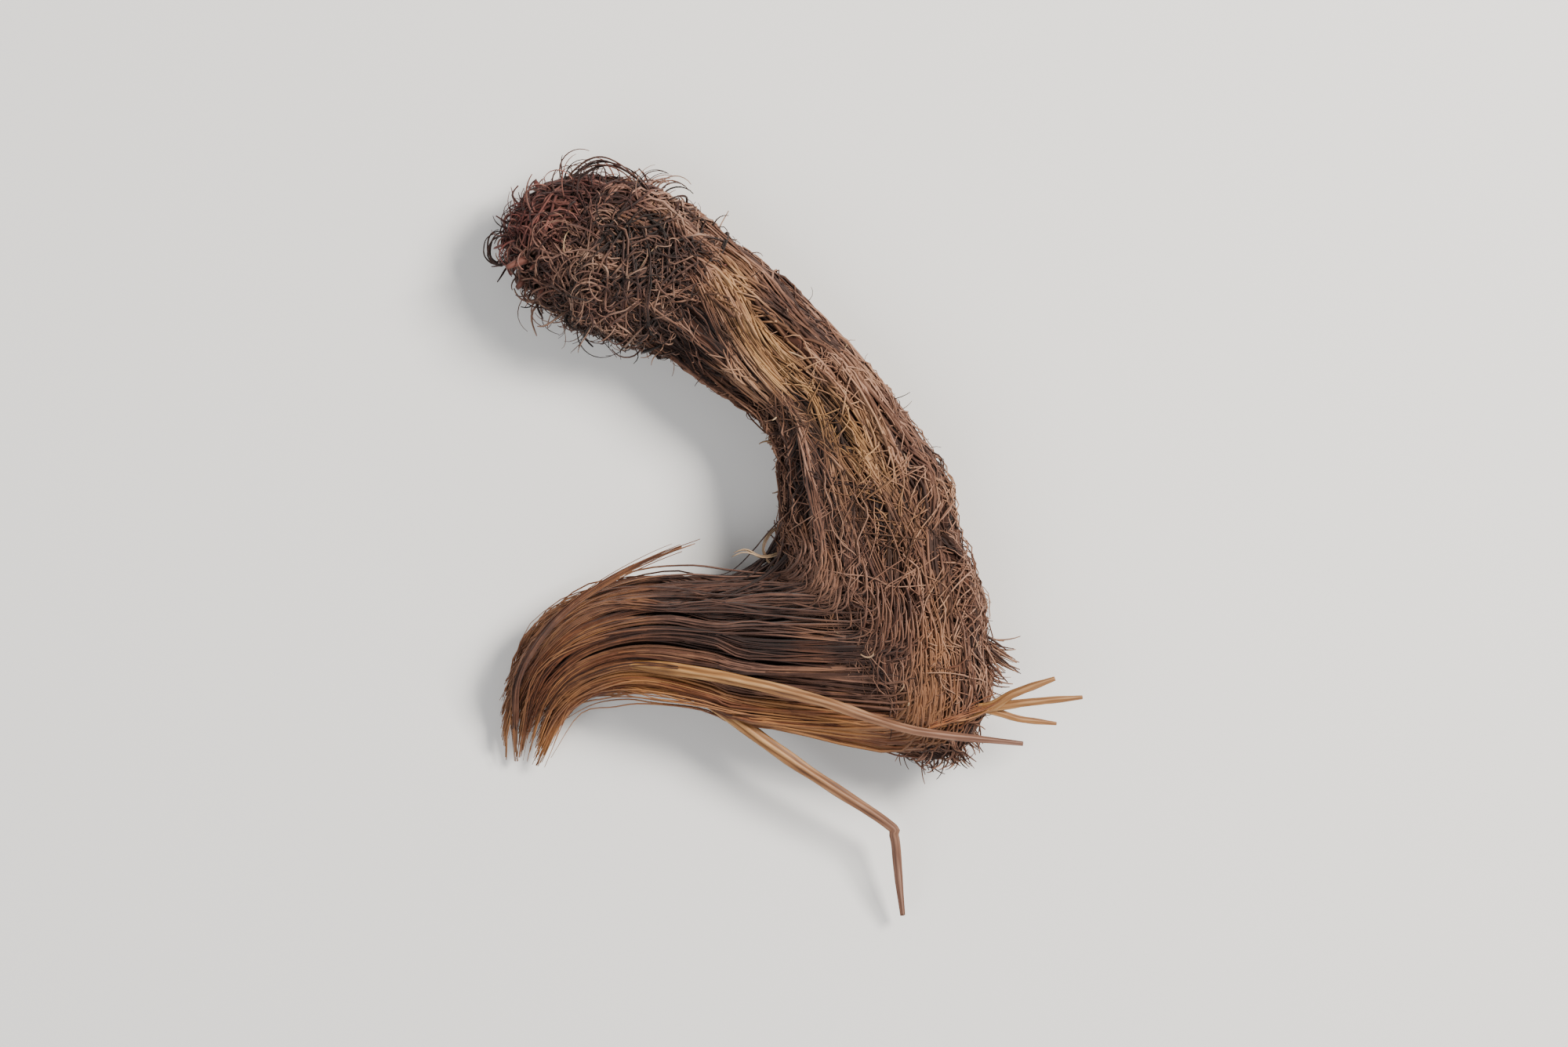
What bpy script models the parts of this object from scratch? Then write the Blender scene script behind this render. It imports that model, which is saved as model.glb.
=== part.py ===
"""Dried jatamansi root: one fibre-coated rhizome lying on a flat surface, seen in plan as a hook.

The rhizome runs from its root end (a woody stub in a tuft of curled wiry rootlets) through a waist to its thick
crown end. The long leaf-base fibres leave the crown as a tail that sweeps back beside it and turns down to the
surface. Three dry leaf stalks stick out of the fibres.

Sizes are in millimetres and are turned to metres where a mesh is made. +X is right and +Y is away from the
viewer in plan, +Z is up, and the surface that the root lies on is Z = 0.
"""

import math
import random

import bmesh
import bpy
import numpy as np
from mathutils import Quaternion, Vector

MM = 0.001
GAP = 0.3  # clearance between neighbouring pieces
PLAN_CENTRE = (2.25, -2.3)  # where the footprint's centre lies in the plan that the outlines below are given in

# Outlines: x, y, z of the centre line, half width, half height.
RHIZOME_LINE = (
    (-18.3, 18.3, 4.2, 2.3, 2.0),
    (-16.3, 19.0, 4.2, 4.1, 3.6),
    (-12.9, 19.1, 4.2, 5.4, 4.5),
    (-7.3, 16.9, 4.6, 5.0, 4.5),
    (-1.6, 13.3, 5.2, 4.6, 4.0),
    (5.0, 7.3, 5.3, 4.1, 3.9),
    (8.1, 0.2, 5.1, 6.2, 5.4),
    (9.9, -6.6, 5.1, 6.7, 5.8),
    (12.0, -12.6, 4.8, 5.9, 5.2),
    (14.1, -17.6, 4.4, 4.2, 3.6),
    (15.3, -20.2, 4.2, 1.6, 1.5),
)
TAIL_LINE = (
    (9.6, -13.6, 4.6, 6.6, 2.9),
    (2.4, -12.5, 5.3, 6.0, 3.1),
    (-3.7, -11.6, 5.1, 4.8, 3.0),
    (-9.6, -11.1, 4.5, 4.2, 2.6),
    (-14.2, -12.7, 3.5, 3.9, 2.1),
    (-17.4, -15.9, 2.2, 3.1, 1.6),
    (-18.4, -21.2, 1.2, 1.9, 0.9),
)
RIDGE_HEIGHT = 0.8  # of the fibre bundles in the rhizome's coat
RHIZOME_STATIONS = 46
RHIZOME_RIDGES = 17
RHIZOME_TWIST = 1.1  # radians that the bundles turn along the rhizome
TAIL_ROOT = 0.45  # share of the rhizome's length past which the tail covers its left side
FIBRE_TIP_RADIUS = 0.3  # of every fibre and rootlet
CROSSING_COUNT = 22
CROSSING_RADIUS = 0.42
CROSSING_SHARES = (0.12, 0.64)  # of the rhizome's length, where the crossing bundles start
CROSSING_STEPS = 6
CROSSING_ARCH = 1.75  # how far a crossing bundle's middle rises above its sunk ends
ROOT_DEPTH = 0.9  # how deep a rootlet or crossing bundle starts below the coat
ROOTLET_COUNT = 54
ROOTLET_RADIUS = 0.38
ROOTLET_SHARES = (0.01, 0.20)  # of the rhizome's length, that the tuft takes up
ROOTLET_LENGTHS = (4.0, 7.5)
ROOTLET_CURLS = (1.4, 3.4)  # radians
BRISTLE_COUNT = 10
BRISTLE_RADIUS = 0.36
BRISTLE_DEPTH = 0.8
BRISTLE_SHARES = (0.22, 0.66)
BRISTLE_LENGTHS = (2.6, 4.2)
BRISTLE_CURLS = (0.3, 1.1)

TAIL_RIDGE_HEIGHT = 0.7
TAIL_STATIONS = 26
TAIL_RIDGES = 17
TAIL_TWIST = 0.5  # radians
TAIL_TAPER = ((0, 0.75, 1), (1, 1, 0.5))  # size of the ridged bundle against the tail's outline, by share
TAIL_BUNDLE_DEPTH = 0.55  # of the ridged bundle below the tail's outline
TAIL_BUNDLE_LEAST = 0.35  # its least half width
SHEATH_STRANDS = 15
TAIL_STRAND_RADIUS = 0.48
TIP_STRANDS = 9
TIP_STRAND_RADIUS = 0.42
SHEATH_EDGE = (  # where the tail's top fibres start on the crown, from the tail's far edge to its near edge
    (1.2, -6.7),
    (5.7, -8.6),
    (11.0, -11.2),
    (15.2, -13.4),
    (16.8, -16.8),
    (15.9, -20.4),
)

LONG_STALK_LINE = (
    (-10.6, -13.2, 6.0),
    (-6.0, -13.7, 7.9),
    (-1.0, -14.6, 8.9),
    (5.0, -16.1, 9.5),
    (12.2, -18.4, 9.4),
    (20.9, -19.5, 8.2),
)
KINKED_STALK_LINE = (
    (-7.0, -13.6, 4.6),
    (-3.6, -16.1, 5.9),
    (3.0, -21.0, 5.2),
    (10.2, -25.8, 3.9),
    (10.9, -26.9, 3.7),
    (11.2, -29.6, 2.8),
    (11.6, -33.2, 1.6),
)
FORK_BASE_LINE = ((12.6, -15.4, 5.4), (15.6, -16.9, 6.6), (18.2, -16.7, 7.2))
FORK_PRONG_LINES = (
    ((17.2, -16.9, 7.0), (20.2, -15.6, 7.9), (23.4, -14.4, 8.2)),
    ((17.2, -16.9, 7.0), (21.4, -16.3, 7.2), (25.6, -15.9, 6.8)),
    ((17.2, -16.9, 7.0), (20.6, -17.6, 6.4), (23.6, -18.0, 5.4)),
)
STALK_RADIUS = 0.55
STALK_TIP_RADIUS = 0.34
PRONG_THINNING = 0.08  # how much thinner a prong is than a whole stalk
FLOOR_BLOCK = 90.0  # side of the block that trims the underside flat
FLOOR_CLEARANCE = 0.05  # of a rootlet that bends down to the surface

# Colours: linear red, green, blue.
COAT_BROWN = (0.105, 0.062, 0.042)
LEAF_FIBRE_BROWN = (0.190, 0.098, 0.050)
STRAW = (0.440, 0.270, 0.140)


def smooth_line(points, count):
    """Rows at even distances along a Catmull-Rom curve through the points; further columns follow along."""
    points = np.asarray(points, float)
    padded = np.vstack([2 * points[0] - points[1], points, 2 * points[-1] - points[-2]])
    spans = len(points) - 1
    place = np.linspace(0, spans, 24 * spans + 1)
    first = np.minimum(place.astype(int), spans - 1)
    f = (place - first)[:, None]
    a, b, c, d = (padded[first + k] for k in range(4))
    rows = 0.5 * (2 * b + (c - a) * f + (2 * a - 5 * b + 4 * c - d) * f**2 + (3 * b - a - 3 * c + d) * f**3)
    steps = np.linalg.norm(np.diff(rows[:, :3], axis=0), axis=1)
    length = np.concatenate([[0], np.cumsum(steps)])
    wanted = np.linspace(0, length[-1], count)
    return np.column_stack([np.interp(wanted, length, column) for column in rows.T])


def level_frames(centre):
    """Unit tangent, level sideways and upward vectors at each point of a line that is never steep."""
    tangent = np.gradient(centre, axis=0)
    tangent /= np.linalg.norm(tangent, axis=1)[:, None]
    side = np.cross([0.0, 0.0, 1.0], tangent)
    side /= np.linalg.norm(side, axis=1)[:, None]
    return tangent, side, np.cross(tangent, side)


def at_share(line, share, angle, lift):
    """The point and outward direction on an elliptical tube at a share of its length, `lift` above its wall."""
    place = share * (len(line) - 1)
    row = np.array([np.interp(place, np.arange(len(line)), column) for column in line.T])
    tangent, side, up = (v[int(round(place))] for v in level_frames(line[:, :3]))
    out = side * math.cos(angle) * row[4] + up * math.sin(angle) * row[3]
    out /= np.linalg.norm(out)
    wall = side * math.cos(angle) * row[3] + up * math.sin(angle) * row[4]
    return row[:3] + wall + out * lift, out, tangent


def mesh_object(name, rings, material=None):
    """A closed tube through rings of points, its ends closed by fans, as an object."""
    count, sides = rings.shape[:2]
    shift = np.array([PLAN_CENTRE[0], PLAN_CENTRE[1], 0.0])
    points = (np.vstack([rings.reshape(-1, 3), rings[0].mean(0), rings[-1].mean(0)]) - shift) * MM
    faces = []
    for i in range(count - 1):
        for j in range(sides):
            k = (j + 1) % sides
            faces.append((i * sides + j, i * sides + k, (i + 1) * sides + k, (i + 1) * sides + j))
    first, last, end = count * sides, count * sides + 1, (count - 1) * sides
    for j in range(sides):
        k = (j + 1) % sides
        faces.append((first, k, j))
        faces.append((last, end + j, end + k))
    mesh = bpy.data.meshes.new(name)
    mesh.from_pydata([tuple(p) for p in points], [], faces)
    work = bmesh.new()
    work.from_mesh(mesh)
    bmesh.ops.recalc_face_normals(work, faces=work.faces)
    work.to_mesh(mesh)
    work.free()
    piece = bpy.data.objects.new(name, mesh)
    bpy.context.scene.collection.objects.link(piece)
    if material:
        mesh.materials.append(material)
    return piece


def ridged_tube(name, line, ridges, height, twist, rng, swell=0.0, material=None):
    """An elliptical tube whose wall carries lengthwise ridges, each one rising and fading along its way.

    Every second point of a ring is a crest. The rings turn by `twist` from end to end and the ridges waver with
    them. `swell` is added all round, and a height of 0 leaves a plain tube.
    """
    sides = 2 * ridges
    share = np.linspace(0, 1, len(line))[:, None]
    place = np.arange(sides)[None, :]
    phase = np.array([rng.uniform(0, 2 * math.pi) for _ in range(sides)])[None, :]
    beat = np.array([rng.uniform(1.5, 3.5) for _ in range(sides)])[None, :]
    waver = 0.35 * (2 * math.pi / sides) * np.sin(2 * math.pi * beat * share + 2 * phase)
    angle = 2 * math.pi * place / sides + twist * share + waver
    rise = 0.55 + 0.45 * np.sin(2 * math.pi * beat * share + phase)
    fade = np.minimum(1, np.minimum(share, 1 - share) * 8)
    relief = height * fade * np.where(place % 2 == 0, rise, -0.25) + swell
    _, side, up = level_frames(line[:, :3])
    wide = (line[:, 3:4] + relief) * np.cos(angle)
    high = (line[:, 4:5] + relief) * np.sin(angle)
    rings = line[:, None, :3] + side[:, None] * wide[..., None] + up[:, None] * high[..., None]
    return mesh_object(name, rings, material)


def strand(name, points, radius, tip_radius, sides=4, material=None):
    """A slim tapering tube with a pointed far end, swept along points that may turn in any direction."""
    points = np.asarray(points, float)
    tangent = np.gradient(points, axis=0)
    tangent /= np.linalg.norm(tangent, axis=1)[:, None]
    across = np.cross(tangent[0], [0.31, 0.22, 0.92])
    rings = []
    for i, (point, along) in enumerate(zip(points, tangent)):
        across = across - along * np.dot(across, along)
        across /= np.linalg.norm(across)
        other = np.cross(along, across)
        r = radius + (tip_radius - radius) * i / (len(points) - 1)
        turn = [2 * math.pi * k / sides for k in range(sides)]
        rings.append([point + r * (math.cos(a) * across + math.sin(a) * other) for a in turn])
    return mesh_object(name, np.array(rings), material)


def curled_points(start, heading, bend_axis, length, curl, steps, lowest):
    """Points of a hair that leaves `start` along `heading` and turns by `curl` about `bend_axis` on its way.

    Where it would pass below `lowest` it runs level instead.
    """
    turn = Quaternion(Vector(bend_axis), curl / steps)
    direction = Vector(heading).normalized()
    points = [Vector(start)]
    for _ in range(steps):
        direction = turn @ direction
        fall = max(direction.z, (lowest - points[-1].z) * steps / length)
        level = Vector((direction.x + 1e-4, direction.y, 0)).normalized()
        along = (level * math.sqrt(max(1 - fall * fall, 0)) + Vector((0, 0, min(fall, 1)))).normalized()
        points.append(points[-1] + along * (length / steps))
    return [tuple(p) for p in points]


def finish_boolean(piece, operation, others):
    """Applies one Boolean with the others to the piece, and removes them."""
    group = bpy.data.collections.new(piece.name + "_operands")
    bpy.context.scene.collection.children.link(group)
    for other in others:
        group.objects.link(other)
    change = piece.modifiers.new(operation.lower(), "BOOLEAN")
    change.operation = operation
    change.operand_type = "COLLECTION"
    change.collection = group
    change.solver = "MANIFOLD"
    graph = bpy.context.evaluated_depsgraph_get()
    made = bpy.data.meshes.new_from_object(piece.evaluated_get(graph))
    piece.modifiers.clear()
    piece.data = made
    for other in others:
        bpy.data.objects.remove(other)
    bpy.data.collections.remove(group)


def keep_largest_body(piece):
    """Drops the loose scraps and sealed hollows that a Boolean leaves, so that one closed body remains."""
    work = bmesh.new()
    work.from_mesh(piece.data)
    left = set(work.faces)
    bodies = []
    while left:
        body, reached = [], [left.pop()]
        while reached:
            face = reached.pop()
            body.append(face)
            for edge in face.edges:
                near = [other for other in edge.link_faces if other in left]
                left.difference_update(near)
                reached.extend(near)
        bodies.append(body)
    bodies.sort(key=len)
    scraps = [face for body in bodies[:-1] for face in body]
    bmesh.ops.delete(work, geom=scraps, context="FACES")
    work.to_mesh(piece.data)
    work.free()


def floor_block():
    """A block whose top is the surface that the root lies on."""
    mesh = bpy.data.meshes.new("floor_block")
    work = bmesh.new()
    bmesh.ops.create_cube(work, size=FLOOR_BLOCK * MM)
    bmesh.ops.translate(work, verts=work.verts, vec=(0, 0, -FLOOR_BLOCK * MM / 2))
    work.to_mesh(mesh)
    work.free()
    block = bpy.data.objects.new("floor_block", mesh)
    bpy.context.scene.collection.objects.link(block)
    return block


def dry_material(name, colour, roughness):
    """A dull, non-metallic material of one colour."""
    material = bpy.data.materials.new(name)
    material.use_nodes = True
    shader = material.node_tree.nodes["Principled BSDF"]
    shader.inputs["Base Color"].default_value = (*colour, 1)
    shader.inputs["Roughness"].default_value = roughness
    shader.inputs["Metallic"].default_value = 0.0
    return material


def crossing_fibres(line, rng):
    """Fibre bundles that cross the coat's ridges at a slant, arched over them and sunk in at both ends."""
    made = []
    first, last = CROSSING_SHARES
    for k in range(CROSSING_COUNT):
        start = first + (last - first) * (k + rng.random()) / CROSSING_COUNT
        reach = rng.uniform(0.10, 0.16)
        angle = rng.uniform(-0.15, 1.15 if start + reach < TAIL_ROOT else 0.5) * math.pi
        slant = rng.choice((-1, 1)) * rng.uniform(0.35, 0.8)
        points = []
        for f in np.linspace(0, 1, CROSSING_STEPS + 1):
            lift = CROSSING_ARCH * max(math.sin(math.pi * f), 0) ** 0.6 - ROOT_DEPTH
            points.append(at_share(line, start + reach * f, angle + slant * f, lift)[0])
        made.append(strand(f"crossing_{k}", points, CROSSING_RADIUS, CROSSING_RADIUS, 4))
    return made


def wiry_rootlets(line, rng):
    """Curled rootlets all round the root end, leaving it towards the stub and curling anticlockwise in plan."""
    made = []
    golden_angle = math.pi * (3 - math.sqrt(5))
    first, last = ROOTLET_SHARES
    for k in range(ROOTLET_COUNT):
        share = first + (last - first) * (k + 0.5) / ROOTLET_COUNT
        angle = k * golden_angle
        start, out, tangent = at_share(line, share, angle, -ROOT_DEPTH)
        heading = out * rng.uniform(0.6, 1.1) - tangent * rng.uniform(0.2, 1.3)
        axis = Vector((rng.uniform(-0.5, 0.5), rng.uniform(-0.5, 0.5), 1.0)).normalized()
        length = rng.uniform(*ROOTLET_LENGTHS)
        curl = rng.uniform(*ROOTLET_CURLS) * (1 if math.cos(angle) < 0 else -1)
        points = curled_points(start, heading, axis, length, curl, 6, ROOTLET_RADIUS + FLOOR_CLEARANCE)
        made.append(strand(f"rootlet_{k}", points, ROOTLET_RADIUS, FIBRE_TIP_RADIUS, 3))
    return made


def bristles(line, rng):
    """Broken fibre ends that stand off the coat here and there, leaning with the fibres."""
    made = []
    first, last = BRISTLE_SHARES
    for k in range(BRISTLE_COUNT):
        share = first + (last - first) * (k + 0.5) / BRISTLE_COUNT
        angle = rng.uniform(-0.1, 1.1 if share < TAIL_ROOT - 0.1 else 0.45) * math.pi
        start, out, tangent = at_share(line, share, angle, -BRISTLE_DEPTH)
        heading = out * rng.uniform(0.5, 0.9) + tangent * rng.choice((-1, 1)) * rng.uniform(0.8, 1.4)
        axis = Vector((rng.uniform(-1, 1), rng.uniform(-1, 1), rng.uniform(-1, 1))).normalized()
        length, curl = rng.uniform(*BRISTLE_LENGTHS), rng.uniform(*BRISTLE_CURLS)
        points = curled_points(start, heading, axis, length, curl, 4, ROOTLET_RADIUS + FLOOR_CLEARANCE)
        made.append(strand(f"bristle_{k}", points, BRISTLE_RADIUS, FIBRE_TIP_RADIUS, 4))
    return made


def make_rhizome(material):
    """The rhizome's ridged coat with its crossing bundles, its tuft and its bristles, as one solid."""
    rng = random.Random(11)
    line = smooth_line(RHIZOME_LINE, RHIZOME_STATIONS)
    rhizome = ridged_tube("rhizome", line, RHIZOME_RIDGES, RIDGE_HEIGHT, RHIZOME_TWIST, rng, material=material)
    grown = crossing_fibres(line, rng) + wiry_rootlets(line, rng) + bristles(line, rng)
    finish_boolean(rhizome, "UNION", grown)
    return rhizome


def laid_over_rhizome(points):
    """The points of a strand, raised where needed so that the strand lies on top of the rhizome."""
    rhizome = smooth_line(RHIZOME_LINE, RHIZOME_STATIONS)
    _, side, _ = level_frames(rhizome[:, :3])
    stand_off = RIDGE_HEIGHT + GAP + 0.7 * TAIL_STRAND_RADIUS
    for point in points:
        near = np.argmin(np.linalg.norm(rhizome[:, :2] - point[:2], axis=1))
        x, y, z, half_width, half_height = rhizome[near]
        off_axis = abs(np.dot(point[:2] - rhizome[near, :2], side[near, :2])) / (half_width + stand_off)
        if off_axis < 1:
            top = z + (half_height + stand_off) * math.sqrt(1 - off_axis**2)
            point[2] = max(point[2], top)
    return points


def along_tail(line, across, above, begin, end, steps, sink):
    """Points of a fibre that keeps its place in the tail, `sink` below its outline, from share to share."""
    _, side, up = level_frames(line[:, :3])
    points = []
    for i in range(steps + 1):
        place = (begin + (end - begin) * i / steps) * (len(line) - 1)
        x, y, z, half_width, half_height = (np.interp(place, np.arange(len(line)), column) for column in line.T)
        near = int(round(place))
        offset = side[near] * (half_width - sink[i]) * across + up[near] * (half_height - sink[i]) * above
        point = np.array((x, y, z)) + offset
        point[2] = max(point[2], TAIL_STRAND_RADIUS)
        points.append(point)
    return points


def sheath_strands(line, rng):
    """Fibres that start side by side on the crown, lie over it and run down into the top of the tail."""
    made = []
    edge = np.array(SHEATH_EDGE)
    edge_place = np.linspace(-1, 1, len(edge))
    for k in range(SHEATH_STRANDS):
        across = 0.94 * (2 * (k + 0.5) / SHEATH_STRANDS - 1)
        start = [np.interp(across, edge_place, column) for column in edge.T]
        start = np.array([start[0] + rng.uniform(-0.8, 0.8), start[1], 0.0])
        sink = np.interp(np.arange(5), (0, 3, 4), (rng.uniform(0.1, 0.4), 0.4, 1.1))
        points = [start] + along_tail(line, across, math.sqrt(1 - across**2), 0.3, rng.uniform(0.55, 0.8), 4, sink)
        points = laid_over_rhizome(smooth_line(points, 10))
        made.append(strand(f"sheath_{k}", points, TAIL_STRAND_RADIUS, FIBRE_TIP_RADIUS, 4))
    return made


def tip_strands(line, rng):
    """Loose fibre ends that come free of the bundle all round the tip of the tail."""
    made = []
    for k in range(TIP_STRANDS):
        angle = 2 * math.pi * (k + 0.5) / TIP_STRANDS
        sink = np.interp(np.arange(6), (0, 1, 5), (1.0, 0.5, rng.uniform(-0.2, 0.3)))
        begin, end = rng.uniform(0.55, 0.65), rng.uniform(0.9, 1.0)
        points = along_tail(line, math.cos(angle), math.sin(angle), begin, end, 5, sink)
        made.append(strand(f"tip_{k}", points, TIP_STRAND_RADIUS, FIBRE_TIP_RADIUS, 4))
    return made


def make_tail(material):
    """The tail's ridged bundle with the strands that lie over the crown and those free at its tip, as one solid."""
    rng = random.Random(23)
    line = smooth_line(TAIL_LINE, TAIL_STATIONS)
    bundle = line.copy()
    taper = np.interp(np.linspace(0, 1, len(line)), *TAIL_TAPER)[:, None]
    bundle[:, 3:] = np.maximum(bundle[:, 3:] * taper - TAIL_BUNDLE_DEPTH, TAIL_BUNDLE_LEAST)
    tail = ridged_tube("fibre_tail", bundle, TAIL_RIDGES, TAIL_RIDGE_HEIGHT, TAIL_TWIST, rng, material=material)
    finish_boolean(tail, "UNION", sheath_strands(line, rng) + tip_strands(line, rng))
    return tail


def stalk(name, line, swell=0.0, count=14, material=None):
    """A dry leaf stalk along a line, thinner at its far end."""
    points = smooth_line(line, count)
    return strand(name, points, STALK_RADIUS + swell, STALK_TIP_RADIUS + swell, 6, material)


def forked_stalk(name, swell=0.0, material=None):
    """A torn leaf stalk: a short base that splits into prongs."""
    base = stalk(name, FORK_BASE_LINE, swell, 5, material)
    prongs = [stalk(f"{name}_{k}", line, swell - PRONG_THINNING, 6) for k, line in enumerate(FORK_PRONG_LINES)]
    finish_boolean(base, "UNION", prongs)
    return base


def main():
    for old in list(bpy.data.objects):
        bpy.data.objects.remove(old)
    coat = dry_material("matted brown fibre", COAT_BROWN, 0.85)
    leaf_fibre = dry_material("combed leaf-base fibre", LEAF_FIBRE_BROWN, 0.7)
    straw = dry_material("dry leaf stalk", STRAW, 0.65)

    rhizome = make_rhizome(coat)
    tail = make_tail(leaf_fibre)

    seat_line = smooth_line(RHIZOME_LINE, 30)
    seat = ridged_tube("seat", seat_line, 10, 0.0, 0.0, random.Random(0), swell=RIDGE_HEIGHT + GAP)
    sockets = [
        seat,
        stalk("long_socket", LONG_STALK_LINE, GAP),
        stalk("kinked_socket", KINKED_STALK_LINE, GAP),
    ]
    finish_boolean(tail, "DIFFERENCE", sockets)
    finish_boolean(rhizome, "DIFFERENCE", [forked_stalk("fork_socket", GAP)])
    for piece in (rhizome, tail):
        finish_boolean(piece, "DIFFERENCE", [floor_block()])
        keep_largest_body(piece)

    stalk("leaf_stalk_long", LONG_STALK_LINE, material=straw)
    stalk("leaf_stalk_kinked", KINKED_STALK_LINE, material=straw)
    forked_stalk("leaf_stalk_forked", material=straw)


main()
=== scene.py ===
import bpy
import numpy as np
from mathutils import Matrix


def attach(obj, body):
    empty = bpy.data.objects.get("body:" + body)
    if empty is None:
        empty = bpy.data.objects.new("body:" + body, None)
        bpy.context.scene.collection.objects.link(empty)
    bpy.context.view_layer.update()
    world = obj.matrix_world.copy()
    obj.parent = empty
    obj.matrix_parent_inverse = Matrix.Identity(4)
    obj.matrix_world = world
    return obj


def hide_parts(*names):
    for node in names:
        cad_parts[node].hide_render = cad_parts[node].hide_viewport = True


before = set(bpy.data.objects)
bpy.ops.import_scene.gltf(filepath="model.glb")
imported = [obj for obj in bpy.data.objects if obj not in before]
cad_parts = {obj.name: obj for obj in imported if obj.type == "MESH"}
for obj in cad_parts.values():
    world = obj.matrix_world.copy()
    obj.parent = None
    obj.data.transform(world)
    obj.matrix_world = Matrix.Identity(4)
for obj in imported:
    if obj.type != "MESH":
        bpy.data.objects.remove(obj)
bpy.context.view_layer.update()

bl_info = {
    "name": "Dried Jatamansi Root",
    "version": (1, 0, 0),
    "blender": (4, 5, 0),
    "location": "View3D > Sidebar > Root",
    "description": "Finished surfaces of a fibre-coated rhizome with its tuft, combed tail and leaf stalks",
    "category": "Object",
}

MM = 0.001
FLOOR_SIZE = 3.0  # metres

# Guide lines in the plan, in millimetres. Rows of the rhizome and the tail are x, y, z, half width and half
# height, and rows of the other lines are x, y and z. The plan's centre is the frame's origin. A far side or
# edge is the one towards +y, and a near one is towards -y.
PLAN_CENTRE = (2.25, -2.3)
RHIZOME_LINE = (
    (-18.3, 18.3, 4.2, 2.3, 2.0),
    (-16.3, 19.0, 4.2, 4.1, 3.6),
    (-12.9, 19.1, 4.2, 5.4, 4.5),
    (-7.3, 16.9, 4.6, 5.0, 4.5),
    (-1.6, 13.3, 5.2, 4.6, 4.0),
    (5.0, 7.3, 5.3, 4.1, 3.9),
    (8.1, 0.2, 5.1, 6.2, 5.4),
    (9.9, -6.6, 5.1, 6.7, 5.8),
    (12.0, -12.6, 4.8, 5.9, 5.2),
    (14.1, -17.6, 4.4, 4.2, 3.6),
    (15.3, -20.2, 4.2, 1.6, 1.5),
)
TAIL_LINE = (
    (9.6, -13.6, 4.6, 6.6, 2.9),
    (2.4, -12.5, 5.3, 6.0, 3.1),
    (-3.7, -11.6, 5.1, 4.8, 3.0),
    (-9.6, -11.1, 4.5, 4.2, 2.6),
    (-14.2, -12.7, 3.5, 3.9, 2.1),
    (-17.4, -15.9, 2.2, 3.1, 1.6),
    (-18.4, -21.2, 1.2, 1.9, 0.9),
)
# Locks, rootlets and stalks that are placed one by one.
LOOSE_LOCK_LINE = (
    (-19.0, -18.4, 1.8),
    (-18.6, -14.4, 4.2),
    (-16.2, -10.4, 6.2),
    (-12.6, -7.4, 7.2),
    (-8.5, -5.2, 7.6),
    (-4.4, -3.6, 7.7),
)
INNER_CORNER_LINES = (
    ((3.0, -1.4, 6.2), (2.2, -3.6, 5.4), (0.8, -5.6, 4.8), (-2.0, -7.2, 4.9), (-6.0, -7.8, 5.2)),
    ((3.4, -3.2, 7.2), (2.6, -5.2, 6.6), (0.8, -6.9, 6.3), (-2.4, -8.0, 6.5), (-6.6, -8.6, 6.3)),
)
TORN_LOCK_LINE = (
    (11.6, -18.6, 7.4),
    (13.4, -18.2, 8.4),
    (15.6, -17.5, 8.3),
    (17.6, -16.8, 7.6),
    (19.4, -16.0, 7.7),
)
PALE_CURL_LINES = (
    ((2.6, -2.4, 4.6), (1.2, -2.8, 5.2), (0.6, -4.2, 5.6), (1.3, -5.4, 5.9), (2.4, -5.2, 6.3)),
    ((2.4, -4.4, 5.4), (0.6, -4.9, 6.0), (-0.9, -4.4, 6.2), (-2.2, -4.9, 6.1)),
)
ARCHED_ROOTLET_LINE = (
    (-15.4, 22.8, 5.0),
    (-14.3, 25.0, 5.8),
    (-12.1, 26.0, 6.4),
    (-9.8, 25.1, 6.6),
    (-8.2, 23.2, 6.2),
    (-7.4, 21.2, 5.6),
)
HOOKED_ROOTLET_LINE = (
    (-17.6, 19.6, 3.6),
    (-19.2, 18.9, 3.6),
    (-20.2, 18.0, 3.5),
    (-21.1, 18.8, 3.6),
    (-20.9, 20.1, 3.9),
    (-19.9, 20.5, 4.1),
    (-19.3, 19.7, 4.0),
)
LONG_STALK_LINE = (
    (-10.6, -13.2, 6.0),
    (-6.0, -13.7, 7.9),
    (-1.0, -14.6, 8.9),
    (5.0, -16.1, 9.5),
    (12.2, -18.4, 9.4),
    (20.9, -19.5, 8.2),
)
KINKED_STALK_LINE = (
    (-7.0, -13.6, 4.6),
    (-3.6, -16.1, 5.9),
    (3.0, -21.0, 5.2),
    (10.2, -25.8, 3.9),
    (10.9, -26.9, 3.7),
    (11.2, -29.6, 2.8),
    (11.6, -33.2, 1.6),
)
FORK_BASE_LINE = ((12.6, -15.4, 5.4), (15.6, -16.9, 6.6))
FORK_PRONG_LINES = (
    ((18.2, -16.7, 7.2), (20.2, -15.6, 7.9), (23.4, -14.4, 8.2)),
    ((18.2, -16.7, 7.1), (21.4, -16.3, 7.2), (25.6, -15.9, 6.8)),
    ((18.2, -16.9, 6.9), (20.6, -17.6, 6.4), (23.6, -18.0, 5.4)),
)

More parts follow.
